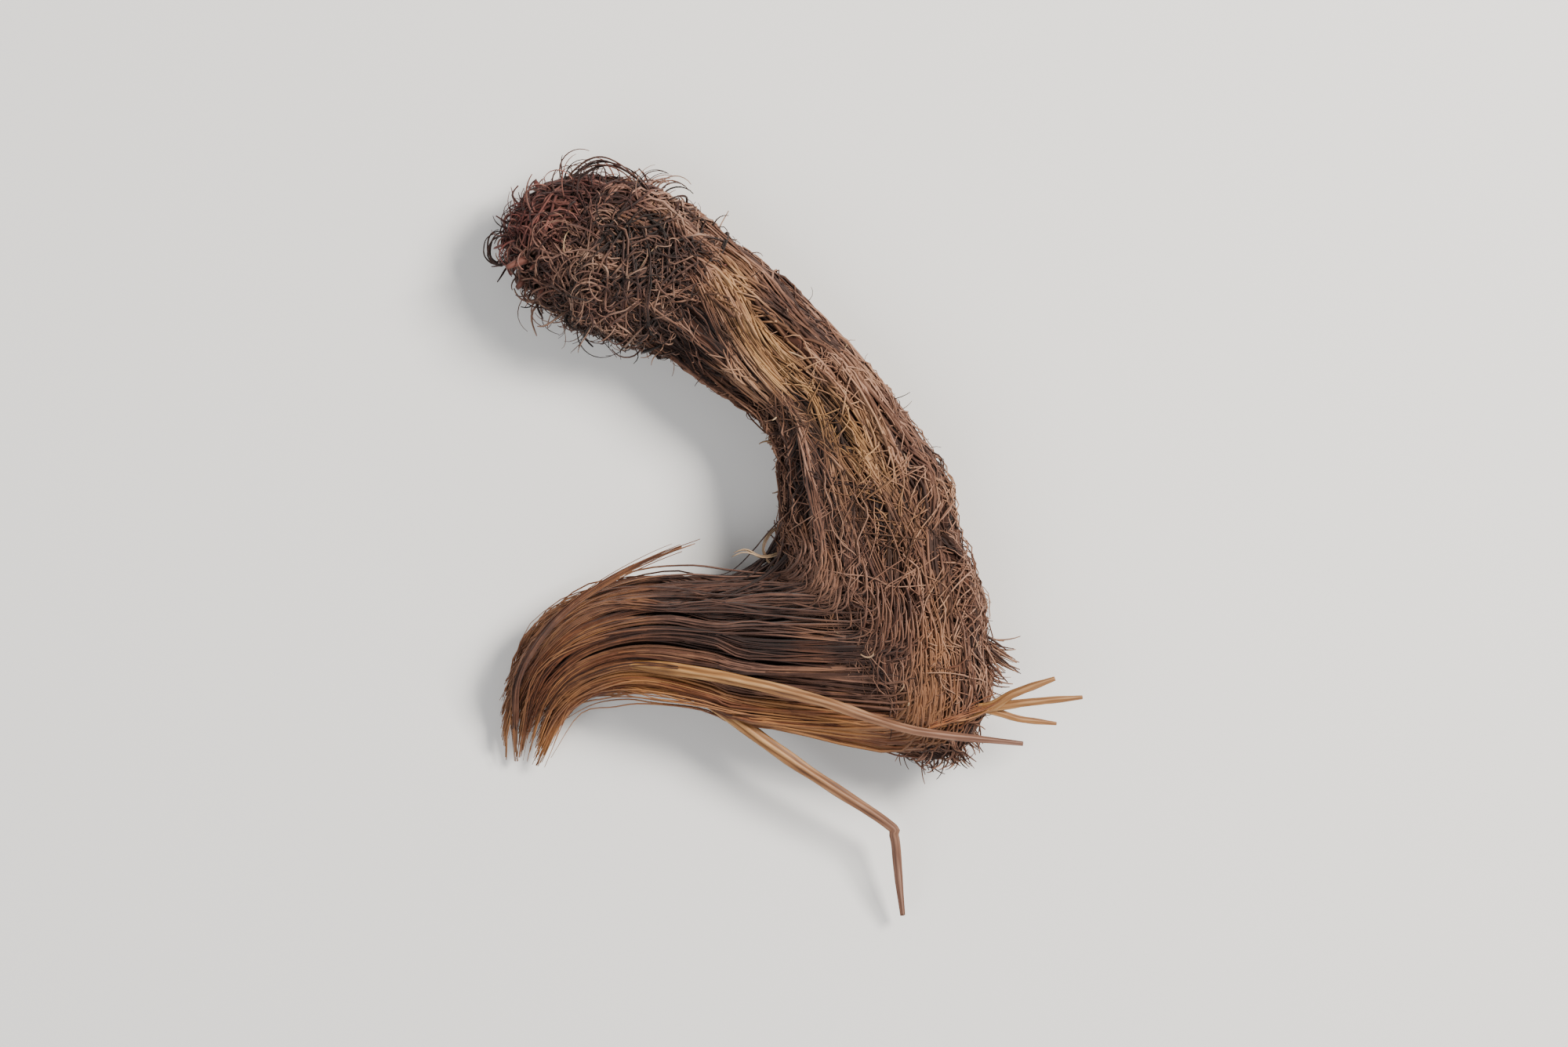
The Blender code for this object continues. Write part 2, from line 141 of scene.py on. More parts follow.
# The rhizome's surface. A place on it is a share of its length and a place round it, counted in ridges.
RIDGES = 17
RIDGE_HEIGHT = 0.8
TWIST = 1.1  # radians that the ridges turn along the rhizome
# The olive strip is olive straw in the coat and also a painted highlight along the lit top of the waist.
STRIP_LINE = (  # middle of the olive strip
    (0.20, 0.9),
    (0.27, 1.7),
    (0.35, 2.8),
    (0.43, 3.1),
    (0.49, 2.9),
    (0.58, 2.0),
    (0.67, 1.35),
    (0.78, 0.6),
)
STRIP_WIDTH = 1.35  # in ridges
STRIP_ENDS = ((0.22, 0.3), (0.64, 0.82))  # shares over which the strip fades in and out
# The hollow at the waist is darkened as painted shade.
HOLLOW_PLACE = (0.535, 4.9)  # middle of the dark hollow at the waist
HOLLOW_SIZE = (0.055, 1.4)  # its reach along and across
RUST_REACH = 0.11  # share of the length over which the root end's rust fades

# How the tail's fibres run, in millimetres of the plan.
TURN_LINE = (  # where they swing round on the crown, from the tail's far edge to its near edge
    (4.2, -6.0, 6.0),
    (7.0, -8.4, 6.0),
    (10.6, -11.0, 6.0),
    (13.6, -14.0, 6.0),
    (14.9, -17.0, 6.0),
    (14.2, -19.6, 6.0),
)
TURN_SPREAD = (1.0, 0.8, 0.0)  # of single fibres round that line
UP_THE_CROWN = (-0.28, 0.96, 0.0)  # direction that the fibres come down from
START_SPREAD = (0.6, 0.5, 0.0)
INNER_STARTS = ((6.5, -9.0, 4.0), (13.8, -18.4, 4.0))  # of the lower fibres, at the far and the near edge
TAIL_STATIONS = (0.27, 0.40, 0.54, 0.68, 0.82, 1.0)  # shares of the tail's length that guide each fibre
TAIL_BUNDLE_DEPTH = 1.2  # of the dark bundle below the tail's outline

STALKS = (("long", LONG_STALK_LINE, 0.78), ("kinked", KINKED_STALK_LINE, 0.9))  # name, line and size
FORK_SIZE = 0.76  # sizes are shares of the stalk radius
PRONG_THINNING = 0.08  # how much thinner each further prong is
STALK_TAPER = ((0, 0.5), (0.1, 1.0), (0.4, 0.9), (0.9, 0.6), (1, 0.35))  # share of the length, size there

GUIDE_STEPS = 240  # rows along a guide line
BUNDLE_STEPS = 9  # points along a fibre of the coat
FLOOR_GAP = 0.02  # least height of a skin above the floor
# Where each group's random draws start, so that every run gives the same root.
COAT_SEED, HAIR_SEED, TUFT_SEED, HALO_SEED, TAIL_SEED, RIDGE_SEED = 101, 211, 307, 331, 401, 5

# sRGB codes, from the darkest fibre to the lightest.
# The deep fibres are dark as painted shade in the gaps between the cords.
SHADED_DEEP_BROWNS = ("#22120c", "#3a2218", "#573829")
SHADED_DEEP_OLIVES = ("#24150d", "#3f2718", "#5f4029")
COAT_BROWNS = ("#301b13", "#503225", "#704c3a", "#96705b")
COAT_OLIVES = ("#382313", "#5e4025", "#7f5a35", "#a37b50")
HAIR_BROWNS = ("#2a1711", "#50352a", "#8a6651")
HAIR_TANS = ("#3a1f14", "#6b4630", "#a07a50")
ROOTLET_BROWNS = ("#1c110c", "#3d2720", "#644638", "#93735f")
ROOTLET_RUSTS = ("#2c0f0d", "#5c2b26", "#8b5048")
WOOD_BROWNS = ("#2c1611", "#4a281e", "#6b4436")
DEAD_GREYS = ("#6e5544", "#8f7358", "#b59a78")
DEAD_TANS = ("#6e4e38", "#8f6a4a", "#b58a60")
LEAF_BROWNS = ("#21120d", "#321d15", "#4a3026", "#704f40")
LEAF_GOLDS = ("#2c150a", "#562e18", "#7b4829", "#98663b")
AGED_STALK = ("#2a1811", "#4a3025", "#6d4b3b", "#93705d")
STALK_SHADE = "#472a15"
STALK_LIGHT = "#b48a58"


def linear(code):
    """The linear colour of an sRGB hex code."""
    parts = [int(code[i : i + 2], 16) / 255 for i in (1, 3, 5)]
    return tuple(p / 12.92 if p <= 0.04045 else ((p + 0.055) / 1.055) ** 2.4 for p in parts)


def ramp_stops(codes):
    """Evenly spaced stops of a colour ramp, as (position, linear colour)."""
    return [(i / (len(codes) - 1), linear(code)) for i, code in enumerate(codes)]


class RootSizes(bpy.types.PropertyGroup):
    """Sizes and counts of the finished surfaces."""

    fibre_radius: bpy.props.FloatProperty(
        name="Fibre radius", description="Of one fibre of the coat",
        default=0.00012, unit="LENGTH", precision=5,
    )
    coat_lift: bpy.props.FloatProperty(
        name="Coat lift", description="Of the outer fibres above the bark",
        default=0.0004, unit="LENGTH", precision=5,
    )
    rootlet_radius: bpy.props.FloatProperty(
        name="Rootlet radius", description="Of the wiry rootlets, which are thinned from it kind by kind",
        default=0.00019, unit="LENGTH", precision=5,
    )
    stalk_radius: bpy.props.FloatProperty(
        name="Stalk radius", description="Of a leaf stalk near its base",
        default=0.00055, unit="LENGTH", precision=5,
    )
    coat_fibres: bpy.props.IntProperty(
        name="Coat fibres", description="From which each layer's number of bundles is taken",
        default=2400, min=100, max=3000,
    )
    rootlets: bpy.props.IntProperty(
        name="Rootlets", description="Single thick rootlets in the tuft",
        default=420, min=20, max=1500,
    )
    tail_locks: bpy.props.IntProperty(
        name="Tail locks", description="Locks of fibre in the tail, from which both its layers are taken",
        default=38, min=14, max=60,
    )


class RootColours(bpy.types.PropertyGroup):
    """Colours of the finished surfaces."""

    # The bark's colours follow its height: the near black of the furrows is painted shade.
    crevice_shade: bpy.props.FloatVectorProperty(
        name="Crevice", description="Of the bark's furrows", subtype="COLOR", default=linear("#22110a")
    )
    bark: bpy.props.FloatVectorProperty(
        name="Bark", description="Of the bark's ridges", subtype="COLOR", default=linear("#3a2117")
    )
    crest: bpy.props.FloatVectorProperty(
        name="Crest", description="Of the bark's highest threads", subtype="COLOR", default=linear("#4f3023")
    )
    stalk: bpy.props.FloatVectorProperty(
        name="Stalk", description="Of the dry leaf stalks", subtype="COLOR", default=linear("#8f6236")
    )
    floor: bpy.props.FloatVectorProperty(
        name="Floor", description="Of the pale floor", subtype="COLOR", default=linear("#e9e6e1")
    )


def smooth_paths(control, count):
    """Catmull-Rom curves through the (n, k, c) control points of n paths, each sampled at `count` points."""
    before = 2 * control[:, :1] - control[:, 1:2]
    beyond = 2 * control[:, -1:] - control[:, -2:-1]
    padded = np.concatenate([before, control, beyond], 1)
    spans = control.shape[1] - 1
    place = np.linspace(0, spans, count)
    first = np.minimum(place.astype(int), spans - 1)
    f = (place - first)[None, :, None]
    a, b, c, d = (padded[:, first + k] for k in range(4))
    return 0.5 * (2 * b + (c - a) * f + (2 * a - 5 * b + 4 * c - d) * f**2 + (3 * b - a - 3 * c + d) * f**3)


def smooth_line(points, count):
    """Rows at even distances along a Catmull-Rom curve through the points; further columns follow along."""
    points = np.asarray(points, float)
    rows = smooth_paths(points[None], 24 * (len(points) - 1) + 1)[0]
    steps = np.linalg.norm(np.diff(rows[:, :3], axis=0), axis=1)
    length = np.concatenate([[0], np.cumsum(steps)])
    wanted = np.linspace(0, length[-1], count)
    return np.column_stack([np.interp(wanted, length, column) for column in rows.T])


def unit(vectors):
    """The vectors at length 1."""
    return vectors / np.maximum(np.linalg.norm(vectors, axis=-1, keepdims=True), 1e-12)


def smooth_step(value, low, high):
    """0 below low, 1 above high, 3t^2 - 2t^3 between."""
    t = np.clip((value - low) / (high - low), 0, 1)
    return t * t * (3 - 2 * t)


def ring_grid(shares, sides, turn):
    """Share and place round for every point of a tube, as (m, k) arrays; a whole turn counts `turn`."""
    return np.meshgrid(shares, np.linspace(0, turn, sides, endpoint=False), indexing="ij")


def flow_place(along, angle, radius):
    """A point's place in the grain, in mm: how far along the piece, then where on a circle round it."""
    return np.stack([along, radius * np.cos(angle), radius * np.sin(angle)], -1)


class Guide:
    """An elliptical tube along a line: points on and off its wall by share of length and angle round it."""

    def __init__(self, points):
        self.line = smooth_line(points, GUIDE_STEPS)
        centre = self.line[:, :3]
        self.tangent = unit(np.gradient(centre, axis=0))
        self.side = unit(np.cross([0.0, 0.0, 1.0], self.tangent))
        self.up = np.cross(self.tangent, self.side)
        self.length = np.linalg.norm(np.diff(centre, axis=0), axis=1).sum()

    def read(self, columns, share):
        """The columns' values at each share, with the columns as a last axis."""
        place = np.linspace(0, 1, GUIDE_STEPS)
        return np.stack([np.interp(share, place, column) for column in columns.T], -1)

    def at(self, share, angle, height):
        """Point and outward direction at `height` above the wall: centre + side w cos a + up h sin a."""
        row = self.read(self.line, share)
        side, up = self.read(self.side, share), self.read(self.up, share)
        cos, sin = np.cos(angle)[..., None], np.sin(angle)[..., None]
        tall = height[..., None]
        wide, high = row[..., 3:4], row[..., 4:5]
        point = row[..., :3] + side * cos * (wide + tall) + up * sin * (high + tall)
        return point, unit(side * cos * high + up * sin * wide)


RHIZOME = Guide(RHIZOME_LINE)
TAIL = Guide(TAIL_LINE)
STRIP = smooth_line(STRIP_LINE, 60)


def ridge_rise(share, ridge):
    """How much each ridge stands out along its way, 0.1 to 1: a sine with the ridge's own pace and phase."""
    rng = np.random.default_rng(RIDGE_SEED)
    phase, beat = rng.uniform(0, 2 * np.pi, RIDGES), rng.uniform(1.5, 3.5, RIDGES)
    own = np.round(ridge).astype(int) % RIDGES
    return 0.55 + 0.45 * np.sin(2 * np.pi * beat[own] * share + phase[own])


def bark_relief(share, ridge):
    """Height of the bark over the guide tube, in mm.

    Each ridge wavers and is a cos^2 hump that rises and fades along its way. Finer cords, nearly five to a
    ridge, slanting ripples that cross them and slow lumps are added, and all of it fades out at both ends.
    """
    waver = ridge + 0.22 * np.sin(14.0 * share + 0.9 * ridge)
    hump = np.cos(np.pi * (waver - np.round(waver))) ** 2
    tall = RIDGE_HEIGHT * 0.8 * hump * ridge_rise(share, waver)
    cords = 0.10 * np.sin(2 * np.pi * 4.6 * waver + 9 * share)
    one_way = np.sin(2 * np.pi * (1.9 * ridge + 16 * share))
    other_way = np.sin(2 * np.pi * (1.3 * ridge - 21 * share))
    lumps = 0.26 * np.sin(31 * share + 1.7) * np.sin(2 * np.pi * 2 * ridge / RIDGES + 12 * share)
    fade = np.clip(np.minimum(share, 1 - share) * 9, 0, 1)
    return (tall + cords + 0.10 * one_way * other_way + lumps - 0.15) * fade


def on_bark(share, ridge, height):
    """Point and outward direction at `height` above the bark, the ridges winding round by TWIST."""
    angle = 2 * np.pi * ridge / RIDGES + TWIST * share
    return RHIZOME.at(share, angle, bark_relief(share, ridge) + height)


def strip_middle(share):
    """The ridge that the olive strip's middle lies on at a share of the length."""
    return np.interp(share, STRIP[:, 0], STRIP[:, 1])


def olive_lit_strip(share, ridge):
    """How olive and how lit the coat is, its own olive straw plus a painted highlight along the top of the
    waist: a bell across the ridges round the strip's middle, fading at both ends.
    """
    apart = (ridge - strip_middle(share) + RIDGES / 2) % RIDGES - RIDGES / 2
    along = smooth_step(share, *STRIP_ENDS[0]) * (1 - smooth_step(share, *STRIP_ENDS[1]))
    return along * np.exp(-((apart / STRIP_WIDTH) ** 2))


def hollow_shade(share, ridge):
    """How deep the painted shade in the hollow at the waist is: a bell along it times a bell across."""
    along = (share - HOLLOW_PLACE[0]) / HOLLOW_SIZE[0]
    across = (ridge - HOLLOW_PLACE[1]) / HOLLOW_SIZE[1]
    return np.exp(-(along**2) - across**2)


def rusty_end(share, ridge):
    """How rusty the rootlets are: a bell along the root end, full on its far side and slight on the near."""
    far = smooth_step(np.cos(2 * np.pi * ridge / RIDGES + TWIST * share), -0.1, 0.6)
    return np.exp(-((share / RUST_REACH) ** 2)) * (0.1 + 0.9 * far)


def coat_shade(share, ridge):
    """What the place adds to a fibre's tone.

    It is lighter on the ridges and darker in the furrows between them, as painted light and shade, less so
    past the waist. The crown is a little darker, and the hollow much darker with painted shade.
    """
    flatter = 1 - 0.6 * smooth_step(share, 0.5, 0.65)
    furrow_shade = 0.8 * (bark_relief(share, ridge) / RIDGE_HEIGHT - 0.12) * flatter
    return furrow_shade - 0.12 * smooth_step(share, 0.68, 0.84) - 0.5 * hollow_shade(share, ridge)


def mesh_object(name, points, groups, material, **values):
    """An object from points in mm, groups of faces with equal corner counts, and named values per point."""
    shift = np.array([PLAN_CENTRE[0], PLAN_CENTRE[1], 0.0])
    mesh = bpy.data.meshes.new(name)
    mesh.vertices.add(len(points))
    mesh.vertices.foreach_set("co", ((points - shift) * MM).astype(np.float32).ravel())
    corners = np.concatenate([group.ravel() for group in groups])
    totals = np.concatenate([np.full(len(group), group.shape[1]) for group in groups])
    mesh.loops.add(len(corners))
    mesh.loops.foreach_set("vertex_index", corners.astype(np.int32))
    mesh.polygons.add(len(totals))
    mesh.polygons.foreach_set("loop_start", (np.cumsum(totals) - totals).astype(np.int32))
    mesh.polygons.foreach_set("loop_total", totals.astype(np.int32))
    mesh.polygons.foreach_set("use_smooth", np.full(len(totals), True))
    for key, value in values.items():
        if value.ndim == 2:
            layer = mesh.attributes.new(key, "FLOAT_VECTOR", "POINT")
            layer.data.foreach_set("vector", value.astype(np.float32).ravel())
        else:
            layer = mesh.attributes.new(key, "FLOAT", "POINT")
            layer.data.foreach_set("value", value.astype(np.float32))
    mesh.update(calc_edges=True)
    mesh.validate()
    mesh.materials.append(material)
    piece = bpy.data.objects.new(name, mesh)
    bpy.context.scene.collection.objects.link(piece)
    return piece


def tube_mesh(name, rings, material, **values):
    """A closed skin over (m, k, 3) rings whose points turn by the right hand about the way on.

    The ends are fanned shut round their middles. Values are (m, k) arrays, or (m, k, 3) for vectors.
    """
    count, sides = rings.shape[:2]
    place = np.arange(count * sides).reshape(count, sides)
    after = np.roll(place, -1, axis=1)
    quads = np.stack([place[:-1], after[:-1], after[1:], place[1:]], -1).reshape(-1, 4)
    first, last = count * sides, count * sides + 1
    start = np.stack([np.full(sides, first), after[0], place[0]], -1)
    end = np.stack([np.full(sides, last), place[-1], after[-1]], -1)
    points = np.vstack([rings.reshape(-1, 3), rings[0].mean(0), rings[-1].mean(0)])
    full = {}
    for key, value in values.items():
        ends = np.stack([value[0].mean(0), value[-1].mean(0)])
        full[key] = np.concatenate([value.reshape((-1, *value.shape[2:])), ends])
    return mesh_object(name, points, [quads, np.vstack([start, end])], material, **full)


def strand_mesh(name, strands, material, sides):
    """Thin closed tubes along (n, m, 3) paths, as one mesh.

    Each ring is path + r (b cos + a sin), with a the given direction made square to the path and b = t x a.
    `strands` holds paths, directions, radii, tone and tint (all n, m): the last two are kept per point.
    """
    paths, directions, radii, tone, tint = (np.concatenate(part) for part in zip(*strands))
    count, steps = paths.shape[:2]
    tangent = unit(np.gradient(paths, axis=1))
    across = unit(directions - tangent * (directions * tangent).sum(-1, keepdims=True))
    other = np.cross(tangent, across)
    turn = 2 * np.pi * np.arange(sides) / sides
    ring = other[:, :, None] * np.cos(turn)[:, None] + across[:, :, None] * np.sin(turn)[:, None]
    points = paths[:, :, None] + ring * radii[:, :, None, None]
    place = np.arange(count * steps * sides).reshape(count, steps, sides)
    after = np.roll(place, -1, axis=2)
    quads = np.stack([place[:, :-1], place[:, 1:], after[:, 1:], after[:, :-1]], -1).reshape(-1, 4)
    caps = np.vstack([place[:, 0], place[:, -1, ::-1]])
    shade = np.repeat(tone.ravel(), sides)
    tinted = np.repeat(tint.ravel(), sides)
    return mesh_object(name, points.reshape(-1, 3), [quads, caps], material, tone=shade, tint=tinted)


def keep_above_floor(paths, least):
    """The paths, pressed flat where they would dip below their least height."""
    paths[..., 2] = np.maximum(paths[..., 2], least)
    return paths


def coat_bundles(
    rng, *, count, each, shares, length, slant, spread, lift, radius,
    ridges=(0, RIDGES), tone=(0, 1), strip=False,
):
    """Bundles of fibres laid on the bark: each fibre keeps near its bundle's line and dives in at both ends.

    A bundle has its middle at a share and a ridge, runs for its length in mm and slants by some ridges. A
    fibre adds its own side step, a slow sine waver, and a height that is its lift x a low arch - a plunge of
    (2f - 1)^6 at the ends. With `strip`, ridges are counted from the olive strip's middle.
    """
    total = count * each
    own = np.repeat(np.arange(count), each)
    f = np.linspace(0, 1, BUNDLE_STEPS)[None, :]
    reach = (rng.uniform(*length, count)[own] * rng.uniform(0.75, 1.25, total))[:, None] / RHIZOME.length
    middle = (rng.uniform(*shares, count)[own] + rng.normal(0, 0.012, total))[:, None]
    middle = np.clip(middle, 0.5 * reach, 1 - 0.5 * reach)
    share = middle + reach * (f - 0.5)
    lean = (rng.normal(0, slant, count)[own] + rng.normal(0, 0.25 * slant, total))[:, None]
    step = rng.normal(0, spread, total)[:, None] + strip * strip_middle(share)
    phase = rng.uniform(0, 2 * np.pi, (2, total, 1))
    waver = 0.5 * spread * np.sin(5 * f + phase[0]) + 0.25 * spread * np.sin(11 * f + phase[1])
    ridge = rng.uniform(*ridges, count)[own][:, None] + lean * (f - 0.5) + step + waver
    arch = rng.uniform(*lift, total)[:, None] * (0.5 + 0.5 * np.sin(np.pi * f))
    plunge = 0.55 * (2 * f - 1) ** 6
    paths, out = on_bark(share, ridge, arch - plunge)
    taper = 0.45 + 0.55 * np.sin(np.pi * f) ** 0.6
    thick = radius * rng.uniform(0.7, 1.35, total)[:, None] * taper
    own_tone = rng.uniform(*tone, count)[own] + rng.normal(0, 0.16, total)
    shade = np.clip(own_tone[:, None] + coat_shade(share, ridge), 0, 1)
    tint = olive_lit_strip(share, ridge) * rng.uniform(0.3, 1.1, count)[own][:, None] + rusty_end(share, ridge)
    return keep_above_floor(paths, thick), out, thick, shade, np.clip(tint, 0, 1)


def standing_hairs(
    rng, *, count, shares, length, curl, radius, lean, stand, steps,
    each=1, ridges=(0, RIDGES), depth=(0.35, 0.35), sideways=0.8,
):
    """Hairs that leave the bark and curl: the heading turns at an even rate about an axis of the hair's own.

    A hair starts at a depth below the bark. Its first heading is out x stand + along the rhizome x lean +
    across it x sideways, with lean and sideways drawn from a bell, and it turns by `curl` radians. Turning a
    heading h about a unit axis k by an angle is h cos + (k x h) sin + k (k.h)(1 - cos), and the path is the
    running sum of the headings. Hairs of one lock, `each` of them, start close together and curl alike.
    """
    total = count * each
    own = np.repeat(np.arange(count), each)
    in_lock = min(each - 1, 1)  # 0 for single hairs
    apart = rng.normal(0, in_lock, (total, 2)) * (0.008, 0.22)
    share = np.clip(rng.uniform(*shares, count)[own] + apart[:, 0], 0, 1)
    ridge = rng.uniform(*ridges, count)[own] + apart[:, 1]
    start, out = on_bark(share, ridge, -rng.uniform(*depth, total))
    tangent = RHIZOME.read(RHIZOME.tangent, share)
    aside = np.cross(tangent, out) * rng.normal(0, sideways, count)[own][:, None]
    outward = out * rng.uniform(*stand, count)[own][:, None]
    heading = outward + tangent * rng.normal(*lean, count)[own][:, None] + aside
    heading = unit(unit(heading) + rng.normal(0, 0.10 * in_lock, (total, 3)))
    wild = unit(rng.normal(0, 1, (count, 3)))[own]
    upright = np.array([0, 0, 0.6]) * rng.choice((-1, 1), count)[own][:, None]
    axis = unit(np.cross(heading, wild) + upright)
    bend = rng.uniform(*curl, count)[own] * rng.uniform(0.85, 1.15, total)
    f = np.linspace(0, 1, steps)[None, :]
    angle = (bend[:, None] * f)[..., None]
    h, k = heading[:, None], axis[:, None]
    along = k * (k * h).sum(-1, keepdims=True)
    turned = h * np.cos(angle) + np.cross(k, h) * np.sin(angle) + along * (1 - np.cos(angle))
    long = rng.uniform(*length, count)[own] * rng.uniform(0.75, 1.1, total)
    step = (long / (steps - 1))[:, None, None]
    way = np.concatenate([np.zeros((total, 1, 3)), np.cumsum(turned[:, :-1] * step, axis=1)], 1)
    paths = start[:, None] + way
    thick = radius * rng.uniform(0.7, 1.3, total)[:, None] * (1 - 0.55 * f**2)
    across = np.broadcast_to(k + 0.01 * h, paths.shape)
    rust = rusty_end(share, ridge) * rng.uniform(0.5, 1.2, total)
    tint = np.broadcast_to(np.clip(rust, 0, 1)[:, None], thick.shape)
    tone = np.broadcast_to(rng.uniform(0, 1, (total, 1)), thick.shape)
    return keep_above_floor(paths, thick), across, thick, tone, tint


def drawn_lock(rng, points, *, count, spread, radius, tint, tone=(0.2, 0.9), steps=30):
    """A lock of fibres side by side along one line, of unequal lengths.

    Each fibre keeps its own offset, which opens from 0.7 to 1.2 of itself, and adds a sine waver.
    """
    line = smooth_line(points, 4 * steps)
    f = np.linspace(0, 1, steps)[None, :]
    place = f * rng.uniform(0.75, 1, (count, 1))
    paths = np.stack([np.interp(place, np.linspace(0, 1, len(line)), column) for column in line.T], -1)
    apart = rng.normal(0, spread, (count, 1, 3)) * (0.7 + 0.5 * f)[..., None]
    waver = 0.5 * spread * np.sin(rng.uniform(0, 6, (count, 1, 3)) + 8 * f[..., None])
    thick = radius * rng.uniform(0.7, 1.3, (count, 1)) * (1 - 0.6 * f**2)
    shade = np.broadcast_to(rng.uniform(*tone, (count, 1)), thick.shape)
    upright = np.broadcast_to(np.array([0.1, 0.1, 1.0]), paths.shape)
    return keep_above_floor(paths + apart + waver, thick), upright, thick, shade, np.full(thick.shape, tint)


def raised_over_rhizome(paths, stand_off):
    """The paths, lifted clear of the rhizome where they cross it in plan.

    They rise to z + (h + o) sqrt(1 - (d / (w + o))^2), with d the distance from its line, w and h its half
    width and half height, and o the stand-off.
    """
    flat = paths.reshape(-1, 3)
    line, side = RHIZOME.line[::4], RHIZOME.side[::4]
    near = ((flat[:, None, :2] - line[None, :, :2]) ** 2).sum(-1).argmin(1)
    row = line[near]
    off = np.repeat(stand_off, paths.shape[1])
    across = np.abs(((flat[:, :2] - row[:, :2]) * side[near][:, :2]).sum(1)) / (row[:, 3] + off)
    top = row[:, 2] + (row[:, 4] + off) * np.sqrt(np.clip(1 - across**2, 0, None))
    flat[:, 2] = np.where(across < 1, np.maximum(flat[:, 2], top), flat[:, 2])
    return flat.reshape(paths.shape)


def tail_run(rng, own, locks, angle, depth, loose):
    """Control points of each fibre along the tail, one for each of TAIL_STATIONS.

    A fibre ends at its own reach, sways with its lock and a little by itself, and draws in towards the tip
    by 0.15 of the half width x the cube of the way there. A loose one also stands out between its ends.
    """
    total, knots = len(own), len(TAIL_STATIONS)
    first = TAIL_STATIONS[0]
    stations = np.array(TAIL_STATIONS)[None, :]
    reach = rng.uniform(0.80, 1.02, locks)[own] * rng.uniform(0.66, 1.0, total) ** 0.6
    share = first + (stations - first) * reach[:, None]
    half = TAIL.read(TAIL.line[:, 3:4], share)[..., 0]
    sway = rng.normal(0, 0.11, (total, knots)) + rng.normal(0, 0.34, (locks, knots))[own]
    out = loose * rng.uniform(0, 1, (total, 1)) * np.sin(np.linspace(0.3, 2.9, knots))[None, :]
    draw = 0.15 * half * ((stations - first) / (1 - first)) ** 3
    return TAIL.at(share, angle[:, None] + 0.12 * sway, 0.8 * sway + out - depth[:, None] - draw)[0]


def crown_swing(rng, angle, depth, on_top, ahead_point):
    """Three control points that bring each fibre down the crown and round into the tail.

    An upper fibre comes from above on the crown, and cuts its corner on TURN_LINE by 1 to 3 mm on either
    side, most at the near edge. A lower one starts inside the crown and comes out at the tail's flank.
    """
    total = len(angle)
    across = np.cos(angle)
    turn = np.array(TURN_LINE)
    place = np.linspace(-1, 1, len(turn))
    corner = np.stack([np.interp(across, place, column) for column in turn.T], -1)
    corner += rng.normal(0, 1, (total, 3)) * TURN_SPREAD
    back = np.array(UP_THE_CROWN)
    ahead = unit((ahead_point - corner) * (1, 1, 0))
    cut = (1.0 + np.clip(across + 1, 0, 2))[:, None]
    rise = cut + rng.uniform(1.5, 3.0 + 2.5 * np.clip(across + 0.6, 0, 1), total)[:, None]
    start = corner + rise * back + rng.normal(0, 1, (total, 3)) * START_SPREAD
    flank, _ = TAIL.at(np.full(total, 0.14), angle, -depth)
    near = (0.5 + 0.5 * across)[:, None]
    inner = np.array(INNER_STARTS[0]) * (1 - near) + np.array(INNER_STARTS[1]) * near
    over = on_top[:, None]
    first = np.where(over, start, inner)
    second = np.where(over, corner + cut * back, 0.5 * (inner + flank))
    third = np.where(over, corner + cut * ahead, flank)
    return np.stack([first, second, third], 1)


def tail_fibres(rng, *, locks, each, radius, angles, sunk, steps=28, loose=0.0, tone=(0.1, 0.85)):
    """Locks of long fibres that come down the crown, swing round on it and run side by side to the tip.

    A lock keeps an angle and a depth in the tail's outline, and its fibres spread round its line. Heights
    are averaged along the way and plunge where a fibre starts. Tone is lighter on the crown, on the near
    edge and towards the tip, and tint, which is golden, is full on the near edge and strong at the tip.
    """
    total = locks * each
    own = np.repeat(np.arange(locks), each)
    angle = np.linspace(*angles, locks, endpoint=False) + rng.normal(0, 0.06, locks)
    angle = angle[own] + rng.normal(0, 0.034, total)
    depth = rng.uniform(*sunk, locks)[own] + rng.normal(0, 0.12, total)
    on_top = np.sin(angle) > 0.05
    run = tail_run(rng, own, locks, angle, depth, loose)
    swing = crown_swing(rng, angle, depth, on_top, run[:, 0])
    paths = smooth_paths(np.concatenate([swing, run], 1), steps)
    stand_off = 0.62 + np.clip(0.4 - depth[on_top], -0.4, 0.4)
    paths[on_top] = raised_over_rhizome(paths[on_top], stand_off)
    for _ in range(4):
        paths[:, 1:-1, 2] = 0.25 * paths[:, :-2, 2] + 0.5 * paths[:, 1:-1, 2] + 0.25 * paths[:, 2:, 2]
    f = np.linspace(0, 1, steps)[None, :]
    paths[on_top, :, 2] -= 1.2 * np.clip(1 - f * 6, 0, 1) ** 2
    thick = radius * rng.uniform(0.7, 1.3, total)[:, None] * (1 - 0.7 * f**4)
    thick = thick * (0.5 + 0.5 * np.clip(f * 8, 0, 1))
    shares = np.broadcast_to(TAIL_STATIONS[0] + 0.7 * f, (total, steps))
    _, direction = TAIL.at(shares, np.repeat(angle[:, None], steps, 1), np.zeros((total, steps)))
    near_edge = smooth_step(np.cos(angle), 0.45, 0.85)[:, None] * (0.3 + 0.7 * smooth_step(f, 0.1, 0.35))
    crown = on_top[:, None] * (1 - smooth_step(f, 0.14, 0.36))
    gold = np.maximum(0.9 * smooth_step(f, 0.6, 0.85), np.maximum(near_edge, 0.3 * crown))
    tint = np.clip(gold * rng.uniform(0.6, 1.1, locks)[own][:, None], 0, 1)
    shade = (rng.uniform(*tone, locks)[own] + rng.normal(0, 0.12, total))[:, None] + 0.2 * near_edge
    shade = shade + 0.6 * crown + 0.3 * smooth_step(f, 0.65, 0.9)
    return keep_above_floor(paths, thick), direction, thick, np.clip(shade, 0, 1), tint


